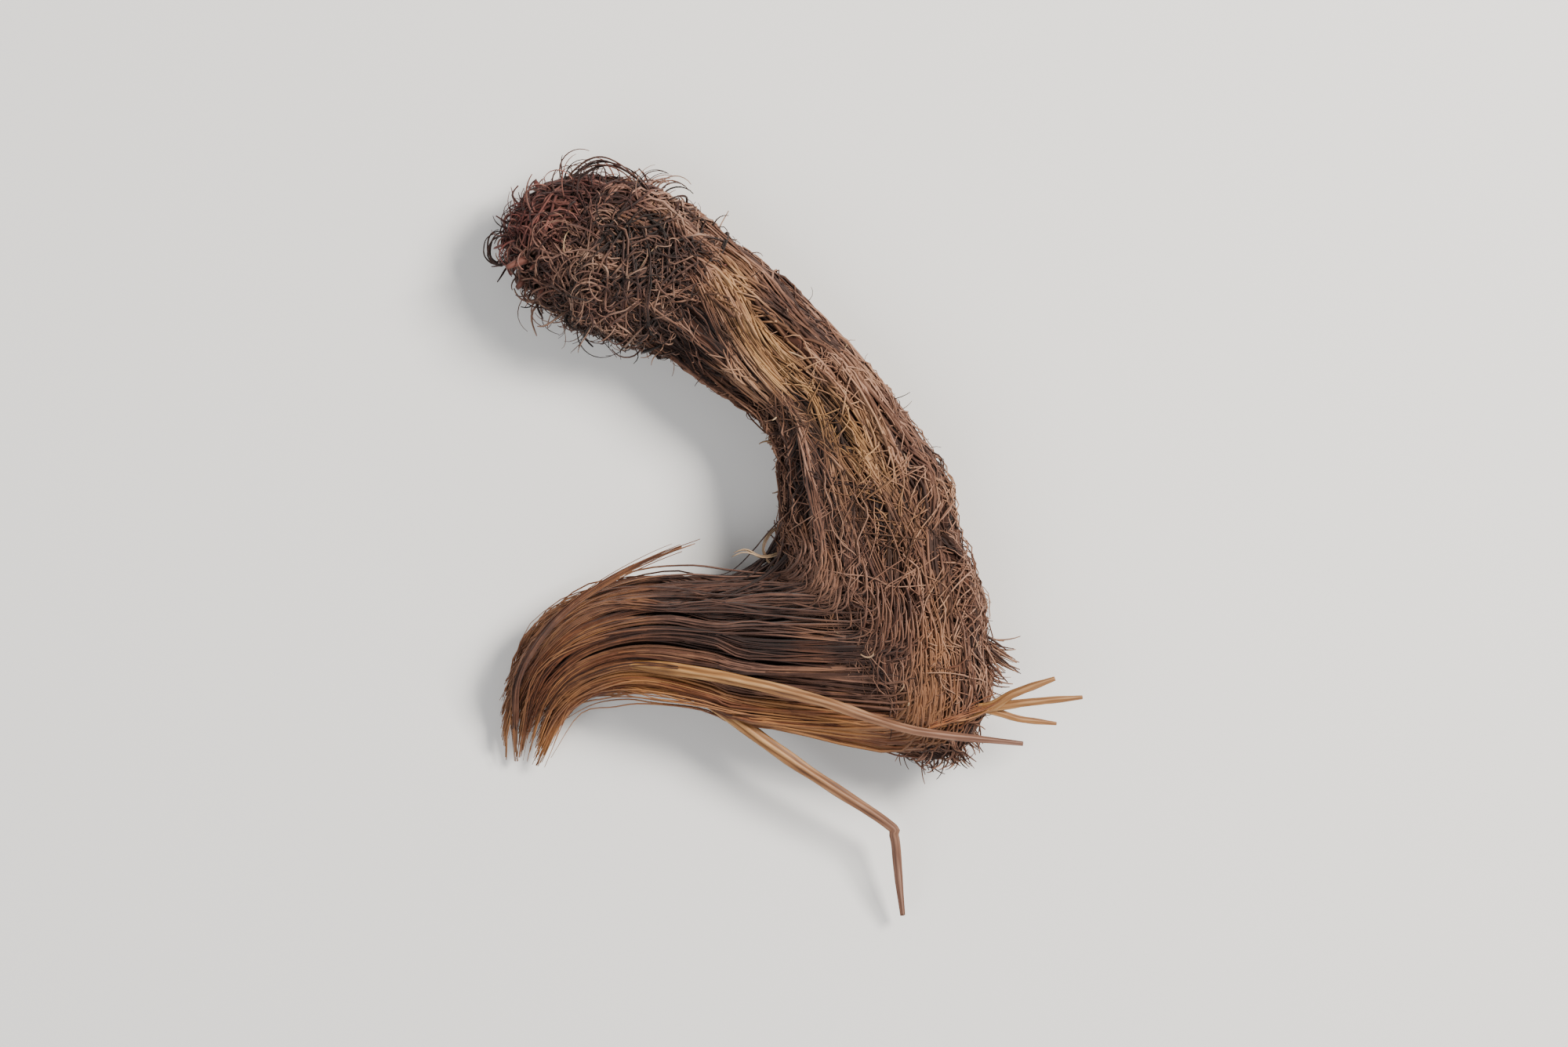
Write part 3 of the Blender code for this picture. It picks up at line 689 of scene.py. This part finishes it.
def tail_bundle(material):
    """The bundle under the tail's fibres, dark as painted shade between the locks: the tail's outline
    further in, with 21 cords round it.

    The cords stand out by 0.2 sin(21 a + 5 share) mm, and the far part slims to 0.15 of its size about the
    tail's middle line.
    """
    share, angle = ring_grid(np.linspace(0.06, 0.86, 110), 90, 2 * np.pi)
    cords = 0.20 * np.sin(21 * angle + 5 * share)
    middle = TAIL.read(TAIL.line[:, :3], share)
    slim = 1 - 0.85 * smooth_step(share, 0.58, 0.86)
    outline = TAIL.at(share, angle, cords - TAIL_BUNDLE_DEPTH)[0]
    rings = keep_above_floor(middle + (outline - middle) * slim[..., None], FLOOR_GAP)
    relief = np.clip(0.1 + 0.5 * cords, 0, 1)
    flow = flow_place(share * TAIL.length, angle, 5)
    return tube_mesh("tail_bundle", rings, material, relief=relief, flow=flow)


def stalk_rings(points, radius, steps, aged):
    """Rings of a grooved stalk: radius x taper x (1 + 0.13 cos 5a + 0.05 cos 11a), a little flat, wavering.

    Its values per point: how high on a groove's crest, how aged (0 to `aged` along it), and flow in mm.
    """
    line = smooth_line(points, steps)
    share, angle = ring_grid(np.linspace(0, 1, steps), 22, 2 * np.pi)
    tangent = unit(np.gradient(line, axis=0))
    side = unit(np.cross(tangent, [0.0, 0.15, 1.0]))
    up = np.cross(side, tangent)
    groove = np.cos(5 * angle + 3 * share)
    rough = 0.07 * np.sin(37 * share + 2) * np.cos(2 * angle + 6 * share)
    size = radius * np.interp(share, *zip(*STALK_TAPER))
    size = size * (1 + 0.13 * groove + 0.05 * np.cos(11 * angle) + rough)
    rings = line[:, None] + side[:, None] * (1.08 * size * np.cos(-angle))[..., None]
    rings = rings + up[:, None] * (0.9 * size * np.sin(-angle))[..., None]
    length = np.linalg.norm(np.diff(line, axis=0), axis=1).sum()
    age = aged * smooth_step(share, 0.15, 0.9)
    flow = flow_place(share * length, angle, radius)
    return rings, {"groove": 0.5 + 0.5 * groove, "aged": age, "flow": flow}


def add_node(tree, kind, settings=None, stops=(), **inputs):
    """A node with its settings and its colour ramp's stops, and its inputs linked from a socket or set.

    An input goes by its name with `_` for a space, or by `_` and its number.
    """
    made = tree.nodes.new(kind)
    for key, value in (settings or {}).items():
        setattr(made, key, value)
    if stops:
        elements = made.color_ramp.elements
        for _ in stops[2:]:
            elements.new(0.5)
        for element, (position, colour) in zip(elements, stops):
            element.position = position
            element.color = (*colour, 1)
    for key, value in inputs.items():
        socket = made.inputs[int(key[1:])] if key[1:].isdigit() else made.inputs[key.replace("_", " ")]
        if isinstance(value, bpy.types.NodeSocket):
            tree.links.new(value, socket)
        else:
            socket.default_value = value
    return made


def new_material(name, **sockets):
    """A material, its tree and its shader, with the shader's plain numbers set on its own sockets."""
    material = bpy.data.materials.new(name)
    material.use_nodes = True
    tree = material.node_tree
    shader = tree.nodes["Principled BSDF"]
    for key, value in sockets.items():
        shader.inputs[key.replace("_", " ")].default_value = value
    return material, tree, shader


def fibre_material(name, codes, tinted_codes, roughness):
    """Dry plant fibre: one tone for each fibre, a fine fleck in it, and no more than a satin gloss.

    The place on both colour ramps is tone + 0.55 x fleck + 0.8 x patch - 0.67, with flecks 0.9 mm and
    patches 7 mm wide. The tint attribute leads from one ramp to the other, and patches shift it a little.
    """
    material, tree, shader = new_material(
        name, Roughness=roughness, IOR=1.5, Specular_IOR_Level=0.3, Sheen_Weight=0.05, Sheen_Roughness=0.5
    )
    where = add_node(tree, "ShaderNodeTexCoord").outputs["Object"]
    tone = add_node(tree, "ShaderNodeAttribute", {"attribute_name": "tone"}).outputs["Fac"]
    tint = add_node(tree, "ShaderNodeAttribute", {"attribute_name": "tint"}).outputs["Fac"]
    noise = "ShaderNodeTexNoise"
    fleck = add_node(tree, noise, Vector=where, Scale=1 / (0.9 * MM), Detail=3.0).outputs["Fac"]
    patch = add_node(tree, noise, Vector=where, Scale=1 / (7 * MM), Detail=2.0).outputs["Fac"]
    weigh = {"operation": "MULTIPLY_ADD"}
    add = {"operation": "ADD", "use_clamp": True}
    flecked = add_node(tree, "ShaderNodeMath", weigh, _0=fleck, _1=0.55, _2=tone).outputs[0]
    patched = add_node(tree, "ShaderNodeMath", weigh, _0=patch, _1=0.8, _2=flecked).outputs[0]
    level = add_node(tree, "ShaderNodeMath", add, _0=patched, _1=-0.67).outputs[0]
    shift = add_node(tree, "ShaderNodeMapRange", _0=patch, _1=0.4, _2=0.65, _3=-0.15, _4=0.25).outputs[0]
    share = add_node(tree, "ShaderNodeMath", add, _0=tint, _1=shift).outputs[0]
    plain = add_node(tree, "ShaderNodeValToRGB", stops=ramp_stops(codes), Fac=level).outputs["Color"]
    tinted = add_node(tree, "ShaderNodeValToRGB", stops=ramp_stops(tinted_codes), Fac=level).outputs["Color"]
    mix = add_node(tree, "ShaderNodeMix", {"data_type": "RGBA"}, _0=share, _6=plain, _7=tinted).outputs[2]
    tree.links.new(mix, shader.inputs["Base Color"])
    return material


def felted_bark():
    """Felted bark: near black in the furrows as painted shade, brown on the crests, dull, with threads along
    the fibres.

    The threads are noise 0.28 mm wide on the piece's own flow attribute, drawn out twelve times along it,
    and stand out by 0.2 mm.
    """
    colours = bpy.context.scene.root_colours
    material, tree, shader = new_material("felted bark", Roughness=0.9, IOR=1.5, Specular_IOR_Level=0.2)
    relief = add_node(tree, "ShaderNodeAttribute", {"attribute_name": "relief"}).outputs["Fac"]
    flow = add_node(tree, "ShaderNodeAttribute", {"attribute_name": "flow"}).outputs["Vector"]
    drawn = add_node(tree, "ShaderNodeMapping", Vector=flow, Scale=(1 / 12, 1.0, 1.0)).outputs[0]
    thread = add_node(
        tree, "ShaderNodeTexNoise", Vector=drawn, Scale=1 / 0.28, Detail=3.0, Roughness=0.6
    ).outputs["Fac"]
    weigh = {"operation": "MULTIPLY_ADD"}
    level = add_node(tree, "ShaderNodeMath", weigh, _0=thread, _1=0.7, _2=relief).outputs[0]
    # From painted shade in the furrows to brown on the crests.
    stops = [(0.3, tuple(colours.crevice_shade)), (0.8, tuple(colours.bark)), (1.0, tuple(colours.crest))]
    ramp = add_node(tree, "ShaderNodeValToRGB", stops=stops, Fac=level)
    tree.links.new(ramp.outputs["Color"], shader.inputs["Base Color"])
    bump = add_node(tree, "ShaderNodeBump", Strength=0.8, Distance=0.2 * MM, Height=thread)
    tree.links.new(bump.outputs["Normal"], shader.inputs["Normal"])
    return material


def dry_stalk():
    """Dry leaf stalk: golden straw where it starts, dull pinkish brown where it is aged, its grooves darker
    as painted shade.

    It has the gloss of dry straw. The grain is noise 0.33 mm wide on the piece's own flow attribute, drawn
    out nine times along the stalk, and stands out by 0.1 mm.
    """
    middle = tuple(bpy.context.scene.root_colours.stalk)
    material, tree, shader = new_material(
        "dry leaf stalk", Roughness=0.55, IOR=1.48, Specular_IOR_Level=0.35
    )
    groove = add_node(tree, "ShaderNodeAttribute", {"attribute_name": "groove"}).outputs["Fac"]
    aged = add_node(tree, "ShaderNodeAttribute", {"attribute_name": "aged"}).outputs["Fac"]
    flow = add_node(tree, "ShaderNodeAttribute", {"attribute_name": "flow"}).outputs["Vector"]
    drawn = add_node(tree, "ShaderNodeMapping", Vector=flow, Scale=(1 / 9, 1.0, 1.0)).outputs[0]
    grain = add_node(tree, "ShaderNodeTexNoise", Vector=drawn, Scale=1 / 0.33, Detail=4.0).outputs["Fac"]
    weigh = {"operation": "MULTIPLY_ADD"}
    # The grooves are darkened as painted shade.
    level = add_node(tree, "ShaderNodeMath", weigh, _0=groove, _1=0.3, _2=grain).outputs[0]
    stops = [(0.3, linear(STALK_SHADE)), (0.64, middle), (0.95, linear(STALK_LIGHT))]
    fresh = add_node(tree, "ShaderNodeValToRGB", stops=stops, Fac=level).outputs["Color"]
    dull = add_node(tree, "ShaderNodeValToRGB", stops=ramp_stops(AGED_STALK), Fac=level).outputs["Color"]
    mix = add_node(tree, "ShaderNodeMix", {"data_type": "RGBA"}, _0=aged, _6=fresh, _7=dull).outputs[2]
    tree.links.new(mix, shader.inputs["Base Color"])
    bump = add_node(tree, "ShaderNodeBump", Strength=0.4, Distance=0.1 * MM, Height=level)
    tree.links.new(bump.outputs["Normal"], shader.inputs["Normal"])
    return material


def finish_piece(piece, node):
    """Fixes the piece to the root's one body and hides the solid it replaces."""
    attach(piece, "root")
    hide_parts(node)


def strand_piece(name, strands, material, node="rhizome", sides=3):
    """A finished piece of strands, which hides the rhizome's solid unless another solid is given."""
    finish_piece(strand_mesh(name, strands, material, sides), node)


class ROOT_OT_bark(bpy.types.Operator):
    """The rhizome's felted surface, ridged and cross-rippled"""

    bl_idname = "root.bark"
    bl_label = "Felted bark"

    def execute(self, context):
        share, ridge = ring_grid(np.linspace(0, 1, 200), 120, RIDGES)
        rings, _ = on_bark(share, ridge, np.zeros(share.shape))
        rings = keep_above_floor(rings, FLOOR_GAP)
        relief = np.clip(bark_relief(share, ridge) / RIDGE_HEIGHT, 0, 1)
        flow = flow_place(share * RHIZOME.length, 2 * np.pi * ridge / RIDGES, 6)
        piece = tube_mesh("felted_bark", rings, felted_bark(), relief=relief, flow=flow)
        finish_piece(piece, "rhizome")
        return {"FINISHED"}


class ROOT_OT_coat(bpy.types.Operator):
    """A deep layer dark with painted shade, matted cords and felt, a fine net over the crown, olive streaks
    at the waist with a painted highlight
    """

    bl_idname = "root.coat"
    bl_label = "Fibre coat"

    def execute(self, context):
        sizes = context.scene.root_sizes
        radius, lift = sizes.fibre_radius / MM, sizes.coat_lift / MM
        full = sizes.coat_fibres
        rng = np.random.default_rng(COAT_SEED)
        # Fibre packed deep in the coat: dark and dull as painted shade, so that gaps between the cords read
        # as depth.
        buried = fibre_material("deep coat fibre", SHADED_DEEP_BROWNS, SHADED_DEEP_OLIVES, 0.8)
        deep = coat_bundles(
            rng, count=full // 8, each=7, shares=(0.03, 0.97), length=(5, 10), slant=0.9,
            spread=0.30, lift=(0.0, 0.22), radius=1.1 * radius,
        )
        strand_piece("coat_deep", [deep], buried)

        # Dry outer fibre: umber to dusty brown, olive straw along the strip with a painted highlight there,
        # and barely satin.
        matted = fibre_material("matted coat fibre", COAT_BROWNS, COAT_OLIVES, 0.72)
        cords = coat_bundles(
            rng, count=full // 20, each=13, shares=(0.14, 0.92), length=(6, 13), slant=0.8,
            spread=0.13, lift=(0.1, lift), radius=0.8 * radius,
        )
        felt = coat_bundles(
            rng, count=full // 12, each=4, shares=(0.08, 0.6), length=(3, 7), slant=1.3,
            spread=0.2, lift=(0.1, 1.2 * lift), radius=0.7 * radius,
        )
        strand_piece("coat_matted", [cords, felt], matted)

        low = coat_bundles(
            rng, count=full // 2, each=1, shares=(0.42, 1.0), length=(2, 6), slant=2.6,
            spread=0.4, lift=(0.1, 1.3 * lift), radius=0.5 * radius, tone=(0.4, 1.1),
        )
        high = coat_bundles(
            rng, count=full // 10, each=2, shares=(0.62, 0.96), length=(3, 7), slant=1.8,
            spread=0.3, lift=(0.4, 0.8), radius=0.45 * radius, tone=(0.4, 1.1),
        )
        strand_piece("coat_net", [low, high], matted)

        # Streaks along the olive strip: olive fibre that also carries the strip's painted highlight.
        streaks = coat_bundles(
            rng, count=full // 80, each=11, shares=(0.25, 0.74), length=(6, 12), slant=0.2,
            spread=0.09, lift=(0.15, 1.1 * lift), radius=0.7 * radius, ridges=(-0.8, 1.8),
            tone=(0.3, 0.9), strip=True,
        )
        flowing = coat_bundles(
            rng, count=full // 100, each=9, shares=(0.08, 0.32), length=(7, 14), slant=0.8,
            spread=0.25, lift=(0.1, 0.5), radius=0.7 * radius, ridges=(-3.5, 2),
        )
        strand_piece("coat_streaks", [streaks, flowing], matted)
        return {"FINISHED"}


class ROOT_OT_fuzz(bpy.types.Operator):
    """Short loose hairs that stand off the coat all over, and torn fibres at the crown's end"""

    bl_idname = "root.fuzz"
    bl_label = "Loose hairs"

    def execute(self, context):
        radius = context.scene.root_sizes.fibre_radius / MM
        rng = np.random.default_rng(HAIR_SEED)
        # Fine dry hair: brown to tan, with the slight sheen of thin fibre.
        hair = fibre_material("loose root hair", HAIR_BROWNS, HAIR_TANS, 0.65)
        hairs = standing_hairs(
            rng, count=1700, shares=(0.1, 0.97), length=(0.9, 2.6), curl=(0.8, 3.8),
            radius=0.42 * radius, lean=(0.2, 1.3), stand=(-0.1, 0.7), steps=7,
        )
        strand_piece("loose_hairs", [hairs], hair)

        # Broken fibre of the coat: the coat's own browns, dull where it is frayed.
        frayed = fibre_material("torn crown fibre", COAT_BROWNS, HAIR_TANS, 0.7)
        end = standing_hairs(
            rng, count=90, shares=(0.945, 1.0), length=(1.2, 2.6), curl=(0.8, 3.0),
            radius=0.7 * radius, lean=(0.4, 0.7), stand=(-0.4, 0.3), steps=9, each=6, depth=(0.0, 1.8),
        )
        cusp = standing_hairs(
            rng, count=7, shares=(0.86, 0.92), length=(2.4, 4.2), curl=(0.1, 0.8),
            radius=0.8 * radius, lean=(1.3, 0.2), stand=(0.4, 0.8), steps=9, each=9,
            ridges=(13.2, 15.4), sideways=0.2,
        )
        strand_piece("crown_end_fibres", [end, cusp], frayed)
        return {"FINISHED"}


class ROOT_OT_tuft(bpy.types.Operator):
    """Wiry curled rootlets round the root end: thick ones through a mat of finer ones, a few of them pale"""

    bl_idname = "root.tuft"
    bl_label = "Rootlet tuft"

    def execute(self, context):
        sizes = context.scene.root_sizes
        radius = sizes.rootlet_radius / MM
        rng = np.random.default_rng(TUFT_SEED)
        # Dried wiry rootlets: near black to grey brown, brick red on the root end, with a faint satin gloss.
        wiry = fibre_material("wiry rootlet", ROOTLET_BROWNS, ROOTLET_RUSTS, 0.65)
        felt = coat_bundles(
            rng, count=260, each=4, shares=(0.01, 0.24), length=(2, 6), slant=3.0,
            spread=0.6, lift=(0.2, 0.9), radius=0.5 * radius,
        )
        strand_piece("tuft_felt", [felt], wiry)

        thick = standing_hairs(
            rng, count=sizes.rootlets, shares=(0.0, 0.20), length=(2.4, 4.6), curl=(1.6, 5.5),
            radius=0.6 * radius, lean=(-0.2, 0.8), stand=(-0.1, 0.4), steps=13,
        )
        locks = standing_hairs(
            rng, count=16, shares=(0.0, 0.17), length=(3.0, 5.0), curl=(2.5, 5.0),
            radius=0.45 * radius, lean=(-0.3, 0.8), stand=(0.0, 0.45), steps=13, each=14,
        )
        end = standing_hairs(
            rng, count=130, shares=(0.0, 0.02), length=(1.8, 3.4), curl=(2.2, 5.5),
            radius=0.6 * radius, lean=(-0.9, 0.5), stand=(-0.3, 0.7), steps=13, depth=(0.2, 2.2),
        )
        halo = standing_hairs(
            np.random.default_rng(HALO_SEED), count=90, shares=(0.0, 0.15), length=(3.4, 5.6),
            curl=(2.4, 4.8), radius=0.33 * radius, lean=(-0.3, 0.7), stand=(0.3, 0.9),
            steps=13, each=3, depth=(0.1, 0.6),
        )
        strand_piece("rootlets", [thick, locks, end, halo], wiry)

        dark = {"count": 6, "radius": 0.5 * radius, "tint": 0.1, "tone": (0.0, 0.5)}
        arched = drawn_lock(rng, ARCHED_ROOTLET_LINE, spread=0.2, **dark)
        hooked = drawn_lock(rng, HOOKED_ROOTLET_LINE, spread=0.16, **dark)
        strand_piece("arched_rootlets", [arched, hooked], wiry)

        fine = standing_hairs(
            rng, count=2200, shares=(0.0, 0.27), length=(1.3, 3.2), curl=(2.0, 6.0),
            radius=0.36 * radius, lean=(0.1, 1.0), stand=(0.0, 0.55), steps=9, depth=(0.0, 0.3),
        )
        strand_piece("fine_rootlets", [fine], wiry)

        # Snapped woody rootlet: dull red brown with a rough skin.
        woody = fibre_material("broken woody rootlet", WOOD_BROWNS, ROOTLET_RUSTS, 0.7)
        stubs = standing_hairs(
            rng, count=40, shares=(0.0, 0.08), length=(1.6, 2.8), curl=(0.1, 0.9),
            radius=1.8 * radius, lean=(-0.7, 0.4), stand=(0.1, 0.8), steps=9, depth=(0.6, 1.2),
        )
        strand_piece("broken_rootlets", [stubs], woody, sides=7)

        # Bleached dead rootlet: the only light threads, beige with a soft gloss.
        bleached = fibre_material("pale dead rootlet", DEAD_GREYS, DEAD_TANS, 0.6)
        light = standing_hairs(
            rng, count=22, shares=(0.02, 0.25), length=(2.6, 4.6), curl=(1.5, 4.5),
            radius=0.5 * radius, lean=(-0.3, 0.8), stand=(0.1, 0.6), steps=12,
        )
        specks = standing_hairs(
            rng, count=70, shares=(0.3, 0.9), length=(1.0, 2.6), curl=(0.5, 2.5),
            radius=0.5 * radius, lean=(0.5, 1.0), stand=(0.1, 0.6), steps=12,
        )
        curls = [
            drawn_lock(rng, line, count=3, spread=0.12, radius=0.5 * radius, tint=0.0, steps=12)
            for line in PALE_CURL_LINES
        ]
        strands = [light, specks, *curls]
        strand_piece("pale_rootlets", strands, bleached)
        return {"FINISHED"}


class ROOT_OT_tail(bpy.types.Operator):
    """The combed tail: a dark ridged bundle with locks of long fibres laid over it and over the crown"""

    bl_idname = "root.tail"
    bl_label = "Combed tail"

    def execute(self, context):
        sizes = context.scene.root_sizes
        radius = sizes.fibre_radius / MM
        rng = np.random.default_rng(TAIL_SEED)
        finish_piece(tail_bundle(felted_bark()), "fibre_tail")

        # Long smooth leaf-base fibre: dark plum brown, amber where it is tinted, glossier than the coat.
        combed = fibre_material("leaf-base fibre", LEAF_BROWNS, LEAF_GOLDS, 0.6)
        # The tail's upper half has more locks than its lower half, which lies in the shade.
        half_locks = sizes.tail_locks // 2
        upper = tail_fibres(
            rng, locks=half_locks + 3, each=30, radius=0.9 * radius,
            angles=(0.06, np.pi - 0.04), sunk=(0.0, 1.3),
        )
        lower = tail_fibres(
            rng, locks=half_locks - 6, each=22, radius=1.1 * radius,
            angles=(np.pi, 2 * np.pi), sunk=(0.3, 0.8),
        )
        strand_piece("tail_fibres", [upper, lower], combed, "fibre_tail")

        outer = tail_fibres(
            rng, locks=12, each=12, radius=0.75 * radius,
            angles=(0.02, np.pi), sunk=(-0.1, 0.3), steps=32, tone=(0.4, 0.9),
        )
        loose = tail_fibres(
            rng, locks=14, each=3, radius=0.7 * radius,
            angles=(0.1, np.pi + 0.3), sunk=(0.0, 0.5), steps=32, loose=1.3,
        )
        lifted = drawn_lock(
            rng, LOOSE_LOCK_LINE, count=24, spread=0.15, radius=0.75 * radius, tint=0.35, steps=32
        )
        torn = drawn_lock(
            rng, TORN_LOCK_LINE, count=22, spread=0.22, radius=0.8 * radius,
            tint=1.0, tone=(0.5, 1.0), steps=32,
        )
        corner = [
            drawn_lock(
                rng, line, count=40, spread=0.5, radius=0.75 * radius, tint=0.1, tone=(0.2, 0.7), steps=32
            )
            for line in INNER_CORNER_LINES
        ]
        strands = [outer, loose, lifted, torn, *corner]
        strand_piece("outer_tail_fibres", strands, combed, "fibre_tail")
        return {"FINISHED"}


class ROOT_OT_stalks(bpy.types.Operator):
    """Three dry leaf stalks: a long one, a kinked one and a torn forked one"""

    bl_idname = "root.stalks"
    bl_label = "Leaf stalks"

    def execute(self, context):
        radius = context.scene.root_sizes.stalk_radius / MM
        straw = dry_stalk()
        for name, line, size in STALKS:
            rings, values = stalk_rings(line, size * radius, steps=150, aged=1.0)
            piece = tube_mesh(f"{name}_leaf_stalk", rings, straw, **values)
            finish_piece(piece, f"leaf_stalk_{name}")
        for k, prong in enumerate(FORK_PRONG_LINES):
            size = FORK_SIZE - PRONG_THINNING * k
            rings, values = stalk_rings((*FORK_BASE_LINE, *prong), size * radius, steps=90, aged=0.25)
            piece = tube_mesh(f"forked_leaf_stalk_{k + 1}", rings, straw, **values)
            finish_piece(piece, "leaf_stalk_forked")
        return {"FINISHED"}


class ROOT_OT_stage(bpy.types.Operator):
    """A pale floor, soft daylight from the upper right and a camera straight above"""

    bl_idname = "root.stage"
    bl_label = "Stage"

    def execute(self, context):
        half = FLOOR_SIZE / 2
        corners = [(-half, -half, 0), (half, -half, 0), (half, half, 0), (-half, half, 0)]
        mesh = bpy.data.meshes.new("floor")
        mesh.from_pydata(corners, [], [(0, 1, 2, 3)])
        # Pale matt board: it takes soft shadows and shows no reflection.
        material, _, shader = new_material("pale matt floor", Roughness=0.7)
        shader.inputs["Base Color"].default_value = (*context.scene.root_colours.floor, 1)
        mesh.materials.append(material)
        floor = bpy.data.objects.new("floor", mesh)
        context.scene.collection.objects.link(floor)

        self.area_light("key light", (0.30, 0.17, 0.36), size=0.16, watts=5.2, colour=(1.0, 0.965, 0.92))
        self.area_light("fill light", (-0.25, -0.2, 0.45), size=0.4, watts=1.6, colour=(0.93, 0.96, 1.0))
        world = bpy.data.worlds.new("soft daylight")
        world.use_nodes = True
        background = world.node_tree.nodes["Background"]
        background.inputs["Color"].default_value = (0.90, 0.92, 0.95, 1)
        background.inputs["Strength"].default_value = 0.45
        context.scene.world = world

        view = bpy.data.cameras.new("camera")
        view.lens = 180
        view.sensor_width = 36
        view.clip_start = 0.01
        camera = bpy.data.objects.new("camera", view)
        camera.location = (0.0, 0.0, 0.62)
        context.scene.collection.objects.link(camera)
        context.scene.camera = camera
        return {"FINISHED"}

    def area_light(self, name, place, size, watts, colour):
        """A square soft light at a place, turned to the root."""
        data = bpy.data.lights.new(name, "AREA")
        data.size = size
        data.energy = watts
        data.color = colour
        light = bpy.data.objects.new(name, data)
        light.location = place
        light.rotation_euler = (-light.location).to_track_quat("-Z", "Y").to_euler()
        bpy.context.scene.collection.objects.link(light)


OPERATORS = (
    ROOT_OT_bark, ROOT_OT_coat, ROOT_OT_fuzz, ROOT_OT_tuft, ROOT_OT_tail, ROOT_OT_stalks, ROOT_OT_stage
)


class ROOT_PT_panel(bpy.types.Panel):
    """The sizes, the colours and a button for each piece"""

    bl_idname = "ROOT_PT_panel"
    bl_label = "Jatamansi root"
    bl_space_type = "VIEW_3D"
    bl_region_type = "UI"
    bl_category = "Root"

    def draw(self, context):
        for group in (context.scene.root_sizes, context.scene.root_colours):
            box = self.layout.box()
            for key in group.__annotations__:
                box.prop(group, key)
        for operator in OPERATORS:
            self.layout.operator(operator.bl_idname)


CLASSES = (RootSizes, RootColours, *OPERATORS, ROOT_PT_panel)


def register():
    """Registers the classes and hangs the sizes and colours on the scene."""
    for cls in CLASSES:
        bpy.utils.register_class(cls)
    bpy.types.Scene.root_sizes = bpy.props.PointerProperty(type=RootSizes)
    bpy.types.Scene.root_colours = bpy.props.PointerProperty(type=RootColours)


def unregister():
    """Undoes register, in reverse."""
    del bpy.types.Scene.root_colours
    del bpy.types.Scene.root_sizes
    for cls in reversed(CLASSES):
        bpy.utils.unregister_class(cls)


def main():
    """Makes every piece and the stage."""
    register()
    for make in ("bark", "coat", "fuzz", "tuft", "tail", "stalks", "stage"):
        getattr(bpy.ops.root, make)()


if __name__ == "__main__":
    main()
